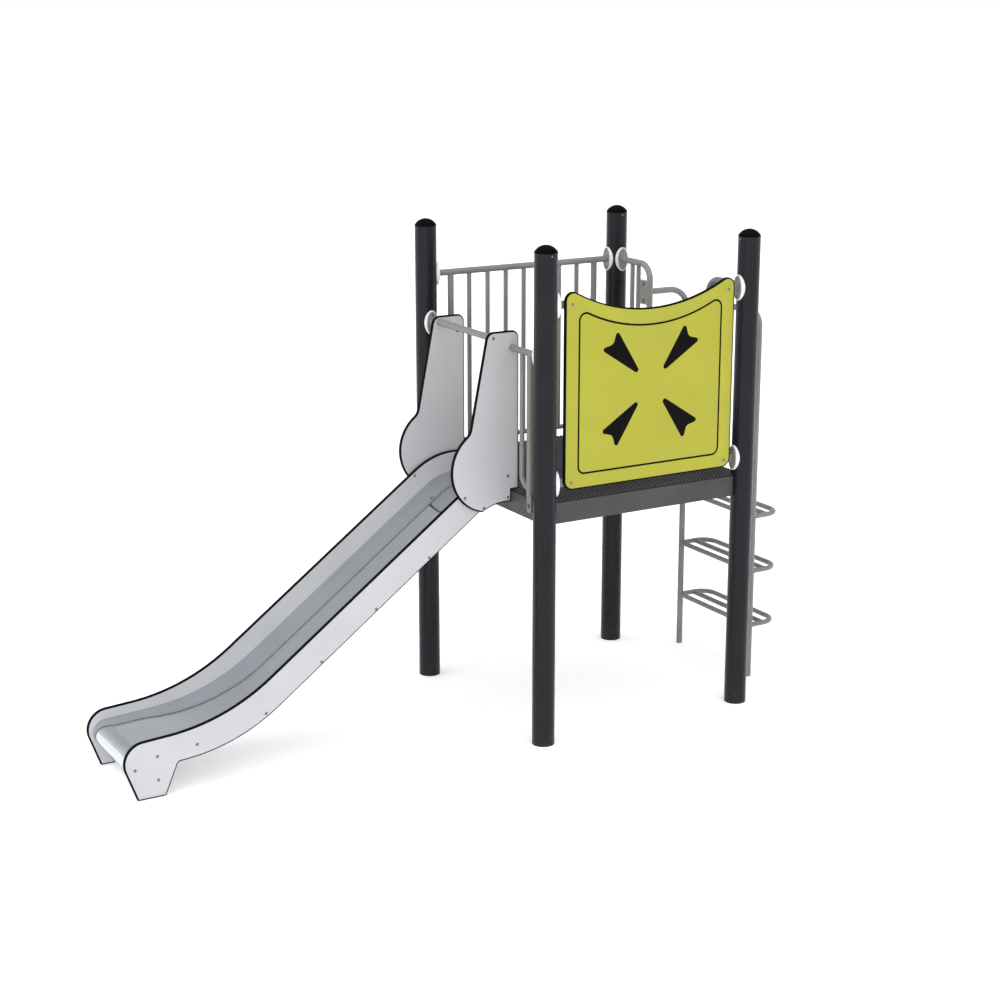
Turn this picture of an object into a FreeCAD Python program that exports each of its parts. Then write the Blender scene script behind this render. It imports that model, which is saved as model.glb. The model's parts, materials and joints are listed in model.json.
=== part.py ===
import FreeCAD, Part
import math
import os

# Play tower with a straight slide: four round posts, a square deck, a barred
# guard, a coloured board, a slide with two wings and a ladder.  Millimetres,
# +Z up, ground at z = 0.  The slide runs out towards -X, the ladder stands on
# the +X side, the coloured board closes the -Y side, the barred guard +Y.

V = FreeCAD.Vector
UP = V(0, 0, 1)

# ---- driving dimensions ----------------------------------------------------
bay = 1200.0                # post centre to post centre, both ways
post_radius = 57.15
post_wall = 3.6
post_rise = 1228.0          # posts above the walking surface
cap_rise = 38.0
cap_overhang = 1.05         # brim past the post's surface
cap_brim_height = 5.0
cap_plug_length = 45.0

deck_height = 1250.0        # walking surface
board_thickness = 8.0
channel_height = 105.0
corner_land = 4.589         # channel flange left past the post at the mitre
channel_wall = 4.0
saddle_thickness = 5.0
bearer_width = 40.0
bearer_height = 60.0
bearer_wall = 3.0
bearer_offset = 200.0       # from the deck centre line, both sides
deck_screw_inset = 120.0    # outermost deck screws, from the frame's edge
deck_post_gap = 2.0

tube_radius = 16.85         # rails, handrails, end tubes, treads
tube_wall = 2.6
bar_radius = 12.5           # thin bars
bar_wall = 2.0

flange_half_width = 30.0
flange_half_height = 60.0
flange_thickness = 4.0
collar_half_width = 36.0
collar_half_height = 65.0
collar_depth = 8.0          # from the post surface to the collar face
flange_screw_pitch = 90.0

guard_rail_rise = 973.0     # above the deck
guard_bottom_rise = 53.0
guard_post_gap = 148.0      # post axis to the guard's end tube
guard_bars = 7
tab_width = 40.0
tab_thickness = 6.0
tab_drop = 72.0             # below the deck frame's top edge
tab_lap = 14.0              # above that edge, into the tube

panel_post_gap = 98.0       # post axis to the board's edge
panel_thickness = 19.0
panel_bottom_rise = 54.0    # above the deck
panel_dip_rise = 920.0      # lowest point of the hollow top edge
panel_dish_rise = 119.0     # of the hollow curve, out to the corner centres
panel_front_offset = 22.0   # in front of the post centre line
panel_screw_inset = 39.5
panel_bracket_low_rise = 92.0
panel_bracket_high_rise = 972.0
panel_edge_radius = 45.0
lug_thickness = 6.0
panel_foot_radius = 50.0

slide_half_width = 265.0    # outer faces of the side boards
side_thickness = 19.0
side_depth = 152.0          # side board, square to the slope
side_top_rise = 97.0        # top edge of the side board at the deck
slope = 0.7315              # rise over run of the chute
slope_run = 900.0           # a station on the slope, out from the deck ...
slope_fall = 445.0          # ... and the side board's top edge there, below the deck
runout_slope = 0.06
runout_length = 398.7       # from the foot of the slope to the foot's middle
runout_side_top = 292.0
runout_side_bottom = 145.0
foot_front = -22.0          # along X from the foot's middle
foot_back = 120.0
foot_heel = 188.0
foot_heel_z = 156.0
foot_brow = -125.0          # where the run-out edge and the foot's front meet
side_crest_radius = 380.0
side_dip_radius = 992.0
side_brow_radius = 105.0
side_foot_radius = 12.0
side_heel_radius = 18.0
under_dip_radius = 930.0
under_crest_radius = 228.0

bed_thickness = 2.0
bed_drop = 131.0            # chute surface below the board's top edge, plumb
bed_entry_drop = 10.0       # below the deck
bed_runout_height = 238.0
bed_flange = 45.0
bed_nose = -116.0           # along X from the foot's middle
bed_lip = 33.0
bed_lip_z = 25.0
bed_crest_radius = 280.0
bed_dip_radius = 1000.0
bed_nose_radius = 68.0
bed_screw_drop = 36.4       # below the chute surface, plumb
entry_flange_drop = 60.0

wing_thickness = 19.0
wing_back = 43.0            # inside the post axes
wing_rise = 808.0           # above the deck
wing_front_top = 137.4      # outside the post axes
wing_lean = 0.2             # front edge, run over rise
wing_neck_rise = 295.0
wing_neck_radius = 60.0
wing_front_radius = 45.0
wing_back_radius = 40.0
wing_arch_run = 90.0        # middle of the arch under the wing, outside the post axes
wing_arch_sag = 5.0
lobe_run = 120.0            # lobe's centre outside the post axes
lobe_rise = 120.0
lobe_radius = 222.0
wing_heel_drop = 63.0       # below the deck
wing_cusp_run = 165.0

crossbar_run = 105.0        # outside the post axes
crossbar_drop = 31.0        # below the wing's top
hoop_drop = 86.0
hoop_upright_share = 0.557  # of the way from the wing to the post axis
hoop_bar_share = 0.3196
hoop_foot_rise = 45.0       # above the deck

ladder_reach = 295.0        # rails, outside the post axes
rail_offset = 325.0         # rails, from the ladder's axis
handrail_rise = 818.0       # above the deck
handrail_bend = 120.0
tread_pitch = 309.0
first_tread = 293.0         # centre line of the lowest tread
treads = 3
tread_slimmer = 3.4         # tread tubes against the rails, in radius
tread_wall = 2.3
tread_bar_pitch = 92.0
tread_bend = 88.0
end_tube_inset = 58.0       # from the ladder rails, towards the axis
half_guard_bend = 85.0
baluster_gap = 52.0         # first baluster, outside the ladder rails
baluster_share = 0.2646     # second one, of the way on to the post axis
plate_thickness = 6.0
plate_height = 132.0
plate_bolt_pitch = 92.0

hole_clearance = 0.2
screw_radius = 4.0
bolt_radius = 5.0

# ---- values that follow from them ------------------------------------------
half_bay = bay / 2
post_height = deck_height + post_rise
cap_brim_radius = post_radius + cap_overhang
channel_flange = post_radius * math.cos(math.radians(45)) + corner_land
frame_top = deck_height - board_thickness
frame_bottom = frame_top - channel_height
collar_face = post_radius + collar_depth
flange_face = collar_face + flange_thickness

guard_rail_height = deck_height + guard_rail_rise
guard_bottom_height = deck_height + guard_bottom_rise
guard_half_width = half_bay - guard_post_gap
panel_width = bay - 2 * panel_post_gap
panel_bottom = deck_height + panel_bottom_rise
panel_dip = deck_height + panel_dip_rise
panel_screw_half_span = panel_width / 2 - panel_screw_inset
panel_bracket_low = deck_height + panel_bracket_low_rise
panel_bracket_high = deck_height + panel_bracket_high_rise

side_top = deck_height + side_top_rise
slope_x = -half_bay - slope_run
slope_z = deck_height - slope_fall
slope_foot_x = slope_x - (slope_z - runout_side_top) / slope
runout_x = slope_foot_x - runout_length
bed_entry_height = deck_height - bed_entry_drop

wing_outer = slide_half_width + wing_thickness
wing_top = deck_height + wing_rise
wing_heel_z = deck_height - wing_heel_drop
lobe_x = -half_bay - lobe_run
lobe_z = deck_height + lobe_rise
crossbar_x = -half_bay - crossbar_run
crossbar_height = wing_top - crossbar_drop
hoop_height = wing_top - hoop_drop
hoop_post_offset = wing_outer + hoop_upright_share * (half_bay - wing_outer)
hoop_bar_offset = wing_outer + hoop_bar_share * (half_bay - wing_outer)
hoop_foot_height = deck_height + hoop_foot_rise

tread_radius = tube_radius - tread_slimmer
ladder_x = half_bay + ladder_reach
handrail_height = deck_height + handrail_rise
end_tube_offset = rail_offset - end_tube_inset
first_baluster = rail_offset + baluster_gap
baluster_offsets = (first_baluster, first_baluster + baluster_share * (half_bay - first_baluster))

posts = {
    "slide_guard": (-half_bay, half_bay),
    "slide_panel": (-half_bay, -half_bay),
    "ladder_guard": (half_bay, half_bay),
    "ladder_panel": (half_bay, -half_bay),
}


# ---- small helpers ---------------------------------------------------------
def box(x0, x1, y0, y1, z0, z1):
    return Part.makeBox(x1 - x0, y1 - y0, z1 - z0, V(x0, y0, z0))


def rod(start, end, radius):
    line = end - start
    return Part.makeCylinder(radius, line.Length, start, line)


def pipe(start, end, radius, wall):
    return rod(start, end, radius).cut(rod(start, end, radius - wall))


def fused(shapes):
    whole = shapes[0].multiFuse(shapes[1:]) if len(shapes) > 1 else shapes[0]
    return whole.removeSplitter()


def mirrored_y(shape):
    return shape.mirror(V(0, 0, 0), V(0, 1, 0))


def mirrored_x(shape):
    return shape.mirror(V(0, 0, 0), V(1, 0, 0))


def corner(before, at, after, radius):
    """Tangent points and middle of the arc that rounds one corner."""
    to_before = (before - at).normalize()
    to_after = (after - at).normalize()
    half = to_before.getAngle(to_after) / 2
    reach = radius / math.tan(half)
    start = at + to_before * reach
    end = at + to_after * reach
    inward = (to_before + to_after).normalize()
    middle = at + inward * (radius / math.sin(half) - radius)
    return start, middle, end


def rounded_wire(points, radii, closed=False):
    """Straight runs joined by arcs; a radius of 0 keeps the corner sharp."""
    count = len(points)
    stops = []
    for i, (at, radius) in enumerate(zip(points, radii)):
        inner = closed or 0 < i < count - 1
        if inner and radius > 0:
            stops.append(corner(points[i - 1], at, points[(i + 1) % count], radius))
        else:
            stops.append((at, None, at))
    edges = []
    for i, (start, middle, end) in enumerate(stops):
        if middle is not None:
            edges.append(Part.Arc(start, middle, end).toShape())
        following = stops[(i + 1) % count][0]
        if (closed or i < count - 1) and (following - end).Length > 1e-6:
            edges.append(Part.makeLine(end, following))
    return Part.Wire(edges)


def plate_xz(outline, radii, y0, thickness):
    """A board standing in the XZ plane, from y0 towards +Y."""
    points = [V(x, y0, z) for x, z in outline]
    face = Part.Face(rounded_wire(points, radii, closed=True))
    return face.extrude(V(0, thickness, 0))


def bent_pipe(points, radii, radius, wall):
    path = rounded_wire(points, radii)
    heading = points[1] - points[0]
    skins = []
    for r in (radius, radius - wall):
        ring = Part.Wire(Part.makeCircle(r, points[0], heading))
        skins.append(path.makePipeShell([ring], True, False))
    return skins[0].cut(skins[1])


def line_meet(slope_a, x_a, z_a, slope_b, x_b, z_b):
    x = (z_b - z_a + slope_a * x_a - slope_b * x_b) / (slope_a - slope_b)
    return x, z_a + slope_a * (x - x_a)


def offset_path(outline, radii, distance):
    """The same path moved sideways, to its left for a positive distance."""
    shifted = []
    for (xa, za), (xb, zb) in zip(outline, outline[1:]):
        length = math.hypot(xb - xa, zb - za)
        nx, nz = -(zb - za) / length, (xb - xa) / length
        shifted.append((xa + nx * distance, za + nz * distance, xb - xa, zb - za))
    moved = [shifted[0][:2]]
    for a, b in zip(shifted, shifted[1:]):
        cross = a[2] * b[3] - a[3] * b[2]
        along = ((b[0] - a[0]) * b[3] - (b[1] - a[1]) * b[2]) / cross
        moved.append((a[0] + a[2] * along, a[1] + a[3] * along))
    last = shifted[-1]
    moved.append((last[0] + last[2], last[1] + last[3]))
    new_radii = [0]
    for i in range(1, len(outline) - 1):
        ax, az = outline[i][0] - outline[i - 1][0], outline[i][1] - outline[i - 1][1]
        bx, bz = outline[i + 1][0] - outline[i][0], outline[i + 1][1] - outline[i][1]
        turn = 1 if ax * bz - az * bx > 0 else -1
        new_radii.append(radii[i] - turn * distance)
    new_radii.append(0)
    return moved, new_radii


def band_xz(outline, radii, near, far, y0, thickness):
    """A strip between two parallel offsets of one path, extruded along Y."""
    wires = []
    for distance in (near, far):
        points, new_radii = offset_path(outline, radii, distance)
        wires.append(rounded_wire([V(x, y0, z) for x, z in points], new_radii))
    starts = [wire.OrderedVertexes[0].Point for wire in wires]
    ends = [wire.OrderedVertexes[-1].Point for wire in wires]
    edges = list(wires[0].Edges) + list(wires[1].Edges)
    edges.append(Part.makeLine(starts[0], starts[1]))
    edges.append(Part.makeLine(ends[0], ends[1]))
    ring = Part.Wire(Part.__sortEdges__(edges))
    return Part.Face(ring).extrude(V(0, thickness, 0))


def ellipse_block(half_width, half_height, x0, x1):
    """An upright oval block whose axis is X."""
    curve = Part.Ellipse(V(x0, 0, half_height), V(x0, half_width, 0), V(x0, 0, 0))
    return Part.Face(Part.Wire(curve.toShape())).extrude(V(x1 - x0, 0, 0))


def round_head(at, outward, radius, height):
    """A low domed head lying on a surface at the given point."""
    crown = (radius * radius + height * height) / (2 * height)
    lean = math.asin(min(1, radius / crown)) / 2
    shoulder = V(crown * math.sin(lean), 0, height - crown + crown * math.cos(lean))
    edges = [Part.makeLine(V(0, 0, 0), V(radius, 0, 0)),
             Part.Arc(V(radius, 0, 0), shoulder, V(0, 0, height)).toShape(),
             Part.makeLine(V(0, 0, height), V(0, 0, 0))]
    head = Part.Face(Part.Wire(edges)).revolve(V(0, 0, 0), UP, 360)
    head.Placement = FreeCAD.Placement(at, FreeCAD.Rotation(UP, outward))
    return head


def screw(at, outward, length, radius=screw_radius, head=2.0):
    """Domed head on the surface, shank going in against the outward way."""
    cap = round_head(at, outward, radius * head, radius * 0.9)
    shank = rod(at, at - outward * length, radius - hole_clearance)
    return cap.fuse(shank)


def hexagon(at, outward, across, height):
    radius = across / math.sqrt(3)
    side = outward.cross(UP)
    if side.Length < 0.1:
        side = V(1, 0, 0)
    side.normalize()
    other = outward.cross(side)
    ring = []
    for k in range(7):
        angle = math.radians(60 * k)
        ring.append(at + side * (radius * math.cos(angle)) + other * (radius * math.sin(angle)))
    return Part.Face(Part.makePolygon(ring)).extrude(outward * height)


def hex_bolt(at, outward, grip, radius=bolt_radius, nut=True):
    """Hex head at the point, shank through the grip and a nut behind."""
    length = grip + (2.2 * radius if nut else 0)
    shapes = [hexagon(at, outward, 3.4 * radius, 1.3 * radius)]
    shapes.append(rod(at, at - outward * length, radius - hole_clearance))
    if nut:
        shapes.append(hexagon(at - outward * (grip + 1.6 * radius), outward, 3.4 * radius, 1.6 * radius))
    return fused(shapes)


def drilled(shape, points, direction, depth, radius=screw_radius):
    """Round holes through the shape, centred on the points."""
    for at in points:
        shape = shape.cut(rod(at - direction * depth, at + direction * depth, radius))
    return shape


def facing(shape, post, angle, z):
    """Move a piece built on the +X side of a post axis to its real post."""
    placed = shape.copy()
    placed.rotate(V(0, 0, 0), UP, angle)
    placed.translate(V(post[0], post[1], z))
    return placed


# ---- flanges on the posts --------------------------------------------------
# name, post, direction the flange looks in, height
guard_flanges = [
    ("slide_guard", 0, guard_rail_height),
    ("ladder_guard", 180, guard_rail_height),
]
hoop_flanges = [
    ("slide_guard", -90, hoop_height),
    ("slide_panel", 90, hoop_height),
]
ladder_flanges = [
    ("ladder_guard", -90, guard_rail_height),
    ("ladder_panel", 90, guard_rail_height),
]
panel_flanges = [
    ("slide_panel", 0, panel_bracket_low),
    ("slide_panel", 0, panel_bracket_high),
    ("ladder_panel", 180, panel_bracket_low),
    ("ladder_panel", 180, panel_bracket_high),
]
all_flanges = guard_flanges + hoop_flanges + ladder_flanges + panel_flanges
flange_holes = [V(flange_face, 0, side * flange_screw_pitch / 2) for side in (-1, 1)]


def flange_plate():
    plate = ellipse_block(flange_half_width, flange_half_height, collar_face, flange_face)
    return drilled(plate, flange_holes, V(1, 0, 0), 20)


def collar():
    block = ellipse_block(collar_half_width, collar_half_height, 40, collar_face)
    block = block.cut(rod(V(0, 0, -100), V(0, 0, 100), post_radius))
    return drilled(block, flange_holes, V(1, 0, 0), 40)


def collars(flanges):
    return [facing(collar(), posts[name], angle, z) for name, angle, z in flanges]


def flange_screws():
    pair = [screw(at, V(1, 0, 0), collar_depth + flange_thickness + 10) for at in flange_holes]
    placed = []
    for name, angle, z in all_flanges:
        placed += [facing(one, posts[name], angle, z) for one in pair]
    return placed


# ---- posts and caps --------------------------------------------------------
cap_screw_z = post_height - 13
cap_screw_ways = {
    "slide_guard": 0,
    "slide_panel": 90,
    "ladder_guard": 90,
    "ladder_panel": 0,
}
deck_bolt_z = frame_bottom + channel_height / 2
deck_bolt_offset = 22.0     # from the post's middle, into the channel


def post_tube(name):
    x, y = posts[name]
    tube = pipe(V(x, y, 0), V(x, y, post_height), post_radius, post_wall)
    for flange_name, angle, z in all_flanges:
        if flange_name == name:
            tool = drilled_tool(flange_holes, 40)
            tube = tube.cut(facing(tool, posts[name], angle, z))
    for way in (0, 180):
        turn = cap_screw_ways[name] + way
        hole = rod(V(40, 0, 0), V(70, 0, 0), 2.5)
        tube = tube.cut(facing(hole, posts[name], turn, cap_screw_z))
    hole = rod(V(40, deck_bolt_offset, 0), V(70, deck_bolt_offset, 0), bolt_radius)
    return tube.cut(on_saddles(hole, name))


def drilled_tool(points, depth):
    rods = [rod(at - V(depth, 0, 0), at + V(depth, 0, 0), screw_radius) for at in points]
    return rods[0].fuse(rods[1])


def on_saddles(shape, name):
    """A piece built on +X of a post, put on both saddles of that post."""
    x, y = posts[name]
    along_x = shape if x * y > 0 else mirrored_y(shape)
    along_y = mirrored_y(along_x)
    turn_x = 0 if x < 0 else 180
    turn_y = 90 if y < 0 else -90
    return [facing(along_x, posts[name], turn_x, deck_bolt_z),
            facing(along_y, posts[name], turn_y, deck_bolt_z)]


def cap(name):
    x, y = posts[name]
    crown_base = post_height + cap_brim_height
    rise = cap_rise - cap_brim_height
    crown = (cap_brim_radius ** 2 + rise ** 2) / (2 * rise)
    ball = Part.makeSphere(crown, V(x, y, crown_base + rise - crown))
    dome = ball.common(Part.makeCylinder(cap_brim_radius, rise, V(x, y, crown_base)))
    brim = Part.makeCylinder(cap_brim_radius, cap_brim_height, V(x, y, post_height))
    plug_radius = post_radius - post_wall - hole_clearance
    plug_base = V(x, y, post_height - cap_plug_length)
    plug = Part.makeCylinder(plug_radius, cap_plug_length, plug_base)
    plug = plug.cut(Part.makeCylinder(plug_radius - 4, cap_plug_length, plug_base))
    whole = fused([brim, dome, plug])
    for way in (0, 180):
        hole = rod(V(40, 0, 0), V(70, 0, 0), 2.5)
        whole = whole.cut(facing(hole, posts[name], cap_screw_ways[name] + way, cap_screw_z))
    return whole


def cap_screws():
    one = screw(V(post_radius, 0, 0), V(1, 0, 0), post_wall + 4, 2.5)
    placed = []
    for name in posts:
        for way in (0, 180):
            placed.append(facing(one, posts[name], cap_screw_ways[name] + way, cap_screw_z))
    return placed


# ---- deck ------------------------------------------------------------------
def deck_channel():
    """Folded channel on the -Y side: web outside, flanges turned inwards."""
    y0 = -half_bay
    length = half_bay - 20
    web = box(-length, length, y0, y0 + channel_wall, frame_bottom, frame_top)
    top = box(-length, length, y0, y0 + channel_flange, frame_top - channel_wall, frame_top)
    bottom = box(-length, length, y0, y0 + channel_flange, frame_bottom, frame_bottom + channel_wall)
    shapes = [web, top, bottom]
    for x in (-half_bay, half_bay):
        outer = rod(V(x, y0, frame_bottom), V(x, y0, frame_top), post_radius + saddle_thickness)
        inside = box(-length, length, y0, y0 + channel_flange, frame_bottom, frame_top)
        shapes.append(outer.common(inside))
    channel = fused(shapes)
    for x in (-half_bay, half_bay):
        channel = channel.cut(rod(V(x, y0, 0), V(x, y0, post_height), post_radius))
        hole = V(x, y0 + deck_bolt_offset, deck_bolt_z)
        channel = channel.cut(rod(hole - V(90, 0, 0), hole + V(90, 0, 0), bolt_radius))
    reach = 100
    mitre = Part.makePolygon([V(-half_bay, y0, frame_bottom), V(half_bay, y0, frame_bottom),
                              V(half_bay - reach, y0 + reach, frame_bottom),
                              V(-half_bay + reach, y0 + reach, frame_bottom),
                              V(-half_bay, y0, frame_bottom)])
    return channel.common(Part.Face(mitre).extrude(UP * channel_height))


def turned_channel(angle):
    channel = deck_channel()
    channel.rotate(V(0, 0, 0), UP, angle)
    return channel


def deck_bearer(side):
    y = side * bearer_offset
    end = half_bay - channel_wall
    top = frame_top
    z0 = top - bearer_height
    outer = box(-end, end, y - bearer_width / 2, y + bearer_width / 2, z0, top)
    inner = box(-end, end, y - bearer_width / 2 + bearer_wall, y + bearer_width / 2 - bearer_wall,
                z0 + bearer_wall, top - bearer_wall)
    bearer = outer.cut(inner)
    cope = channel_flange + 1
    for x0, x1 in ((-end, -half_bay + cope), (half_bay - cope, end)):
        bearer = bearer.cut(box(x0, x1, y - 30, y + 30, top - channel_wall, top))
    return drilled(bearer, [V(x, y, top) for x in deck_screw_x], UP, 10, 3.0)


deck_screw_x = [k / 3 * (half_bay - deck_screw_inset) for k in (-3, -1, 1, 3)]


def deck_board():
    board = box(-half_bay, half_bay, -half_bay, half_bay, frame_top, deck_height)
    for x, y in posts.values():
        board = board.cut(rod(V(x, y, 0), V(x, y, post_height), post_radius + deck_post_gap))
    spots = [V(x, side * bearer_offset, deck_height) for x in deck_screw_x for side in (-1, 1)]
    board = drilled(board, spots, UP, 20, 3.0)
    for spot in spots:
        board = board.cut(Part.makeCone(6.2, 2.9, 3.4, spot, -UP))
    return board


def deck_screws():
    placed = []
    for x in deck_screw_x:
        for side in (-1, 1):
            at = V(x, side * bearer_offset, deck_height)
            head = Part.makeCone(6.0, 2.8, 3.2, at, -UP)
            placed.append(head.fuse(rod(at - UP * 2, at - UP * 14, 2.8)))
    return placed


def deck_bolt():
    """Through a saddle into the post, the head inside the channel."""
    y = deck_bolt_offset
    seat = post_radius + saddle_thickness
    start = math.sqrt(seat ** 2 - y ** 2)
    washer = rod(V(start - 5, y, 0), V(start + 1.5, y, 0), 9.0)
    head = hexagon(V(start + 1.5, y, 0), V(1, 0, 0), 17, 6.5)
    head = washer.fuse(head).cut(rod(V(0, 0, -20), V(0, 0, 20), seat))
    shank = rod(V(start + 4, y, 0), V(start - 20, y, 0), bolt_radius - hole_clearance)
    return fused([head, shank])


def deck_bolts():
    one = deck_bolt()
    return [piece for name in posts for piece in on_saddles(one, name)]


# ---- barred guard on the +Y side -------------------------------------------
def guard_top_rail():
    y = half_bay
    end = half_bay - flange_face
    shapes = [pipe(V(-end, y, guard_rail_height), V(end, y, guard_rail_height), tube_radius, tube_wall)]
    for name, angle, z in guard_flanges:
        shapes.append(facing(flange_plate(), posts[name], angle, z))
    return fused(shapes)


def bar_between(x, y, z0, z1, radius, wall, *rails):
    """An upright tube coped to the rails it is welded to."""
    bar = pipe(V(x, y, z0), V(x, y, z1), radius, wall)
    for start, end, rail_radius in rails:
        bar = bar.cut(rod(start, end, rail_radius))
    return bar


def frame_tab(x_out, y):
    """Flat rounded tab lying on the deck frame's outer face, built for -X."""
    z1 = frame_top + tab_lap
    z0 = frame_top - tab_drop
    strip = box(x_out - tab_thickness, x_out, y - tab_width / 2, y + tab_width / 2,
                z0 + tab_width / 2, z1)
    end = rod(V(x_out - tab_thickness, y, z0 + tab_width / 2), V(x_out, y, z0 + tab_width / 2),
              tab_width / 2)
    tab = strip.fuse(end).removeSplitter()
    return drilled(tab, [V(x_out, y, tab_bolt_z)], V(1, 0, 0), 20, bolt_radius)


tab_bolt_z = frame_top - tab_drop / 2


def tab_bolt(x_out, y):
    return hex_bolt(V(x_out - tab_thickness, y, tab_bolt_z), V(-1, 0, 0), tab_thickness + channel_wall)


def guard_end_tube(side):
    y = half_bay
    rail = (V(-half_bay, y, guard_rail_height), V(half_bay, y, guard_rail_height), tube_radius)
    tube = bar_between(side * guard_half_width, y, frame_top + tab_lap, guard_rail_height,
                       tube_radius, tube_wall, rail)
    tab = frame_tab(-half_bay, side * guard_half_width)
    tab.rotate(V(0, 0, 0), UP, -90)
    return tube.fuse(tab)


def guard_bottom_rail():
    y = half_bay
    rail = pipe(V(-guard_half_width, y, guard_bottom_height), V(guard_half_width, y, guard_bottom_height),
                bar_radius, bar_wall)
    for side in (-1, 1):
        x = side * guard_half_width
        rail = rail.cut(rod(V(x, y, frame_top), V(x, y, guard_rail_height), tube_radius))
    return rail


def guard_bars_all():
    y = half_bay
    pitch = 2 * guard_half_width / (guard_bars + 1)
    top = (V(-half_bay, y, guard_rail_height), V(half_bay, y, guard_rail_height), tube_radius)
    low = (V(-half_bay, y, guard_bottom_height), V(half_bay, y, guard_bottom_height), bar_radius)
    bars = []
    for k in range(1, guard_bars + 1):
        x = -guard_half_width + k * pitch
        bars.append(bar_between(x, y, guard_bottom_height, guard_rail_height, bar_radius, bar_wall, top, low))
    return bars


# ---- coloured board on the -Y side -----------------------------------------
panel_front = -half_bay - panel_front_offset
panel_back = panel_front + panel_thickness
panel_screw_spots = [
    V(side * panel_screw_half_span, panel_front, z)
    for side in (-1, 1) for z in (panel_bracket_low, panel_bracket_high)
]


def coloured_panel():
    """Rounded board whose top edge is one long hollow curve."""
    half, r, y = panel_width / 2, panel_edge_radius, panel_front
    dish = ((half - r) ** 2 + panel_dish_rise ** 2) / (2 * panel_dish_rise)
    dish_z = panel_dip + dish
    shoulder_x = half - r
    shoulder_z = dish_z - math.sqrt((dish + r) ** 2 - shoulder_x ** 2)
    share = r / (dish + r)
    horn_x = shoulder_x * (1 - share)
    horn_z = shoulder_z + (dish_z - shoulder_z) * share
    crest = V(shoulder_x + r * math.sin(0.5), y, shoulder_z + r * math.cos(0.5))
    foot = [V(half, y, shoulder_z), V(half, y, panel_bottom), V(-half, y, panel_bottom),
            V(-half, y, shoulder_z)]
    edges = rounded_wire(foot, [0, panel_foot_radius, panel_foot_radius, 0]).Edges
    edges.append(Part.Arc(V(half, y, shoulder_z), crest, V(horn_x, y, horn_z)).toShape())
    crest_left = V(-crest.x, y, crest.z)
    edges.append(Part.Arc(V(-half, y, shoulder_z), crest_left, V(-horn_x, y, horn_z)).toShape())
    edges.append(Part.Arc(V(-horn_x, y, horn_z), V(0, y, panel_dip), V(horn_x, y, horn_z)).toShape())
    ring = Part.Wire(Part.__sortEdges__(edges))
    shape = Part.Face(ring).extrude(V(0, panel_thickness, 0))
    return drilled(shape, panel_screw_spots, V(0, 1, 0), 30)


def panel_bracket(z):
    """Oval flange with a flat lug that reaches behind the coloured board."""
    plate = facing(flange_plate(), posts["slide_panel"], 0, z)
    x0 = -half_bay + flange_face
    x1 = -panel_screw_half_span
    lug = box(x0, x1, panel_back, panel_back + lug_thickness, z - 20, z + 20)
    tip = rod(V(x1, panel_back, z), V(x1, panel_back + lug_thickness, z), 20)
    whole = fused([plate, lug, tip])
    return drilled(whole, [V(x1, panel_back, z)], V(0, 1, 0), 20)


def panel_brackets():
    left = [panel_bracket(z) for z in (panel_bracket_low, panel_bracket_high)]
    return left + [mirrored_x(one) for one in left]


def panel_screw(spot):
    """Domed screw through the board and the lug, with a nut behind."""
    grip = panel_thickness + lug_thickness
    body = screw(spot, V(0, -1, 0), grip)
    nut_base = V(spot.x, panel_front + grip, spot.z)
    nut = hexagon(nut_base, V(0, 1, 0), 13, 6)
    tail = rod(nut_base + V(0, 6, 0), nut_base + V(0, 9, 0), screw_radius - hole_clearance)
    return body.multiFuse([nut, tail])


def panel_screws():
    return [panel_screw(spot) for spot in panel_screw_spots]


# ---- slide -----------------------------------------------------------------
def chute_path():
    """Chute surface from the deck down to the turned-under nose lip."""
    top_knee = line_meet(0, 0, bed_entry_height, slope, slope_x, slope_z - bed_drop)
    low_knee = line_meet(runout_slope, runout_x, bed_runout_height, slope, slope_x, slope_z - bed_drop)
    nose = (runout_x + bed_nose, bed_runout_height + runout_slope * bed_nose)
    lip = (runout_x + bed_lip, bed_lip_z)
    start = (-half_bay, bed_entry_height)
    return [start, top_knee, low_knee, nose, lip], [0, bed_crest_radius, bed_dip_radius, bed_nose_radius, 0]


def slide_bed():
    outline, radii = chute_path()
    half = slide_half_width - side_thickness
    floor = band_xz(outline, radii, 0, bed_thickness, -half, 2 * half)
    shapes = [floor]
    for y0 in (-half, half - bed_thickness):
        shapes.append(band_xz(outline, radii, bed_thickness, bed_flange, y0, bed_thickness))
    shapes.append(box(-half_bay - bed_thickness, -half_bay, -half, half,
                      bed_entry_height - entry_flange_drop, bed_entry_height))
    bed = fused(shapes)
    bed = drilled(bed, [V(x, 0, z) for x, z in bed_screw_spots + wing_low_spots], V(0, 1, 0), 400)
    return drilled(bed, entry_bolt_spots, V(1, 0, 0), 20, bolt_radius)


def on_slope(x):
    """Screw place on the straight slope, below the chute surface."""
    return x, slope_z + slope * (x - slope_x) - bed_drop - bed_screw_drop


bed_screw_spots = [on_slope(slope_x + run) for run in (438, 140, -160)]
bed_screw_spots.append((slope_foot_x + 241.3, bed_runout_height + 74))
bed_screw_spots += [(runout_x + run, bed_runout_height - drop)
                    for run, drop in ((283, 12), (83, 32), (-30, 81))]
foot_tie_spot = (runout_x + 83, 88.0)
wing_low_spots = [(-half_bay - run, bed_entry_height - drop) for run, drop in ((21, 28), (160, 66))]
wing_high_spots = [(-half_bay - run, side_top - drop) for run, drop in ((21, 25), (268, 107))]
entry_bolt_spots = [V(-half_bay, y, bed_entry_height - 35) for y in (-160.0, 0.0, 160.0)]


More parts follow.
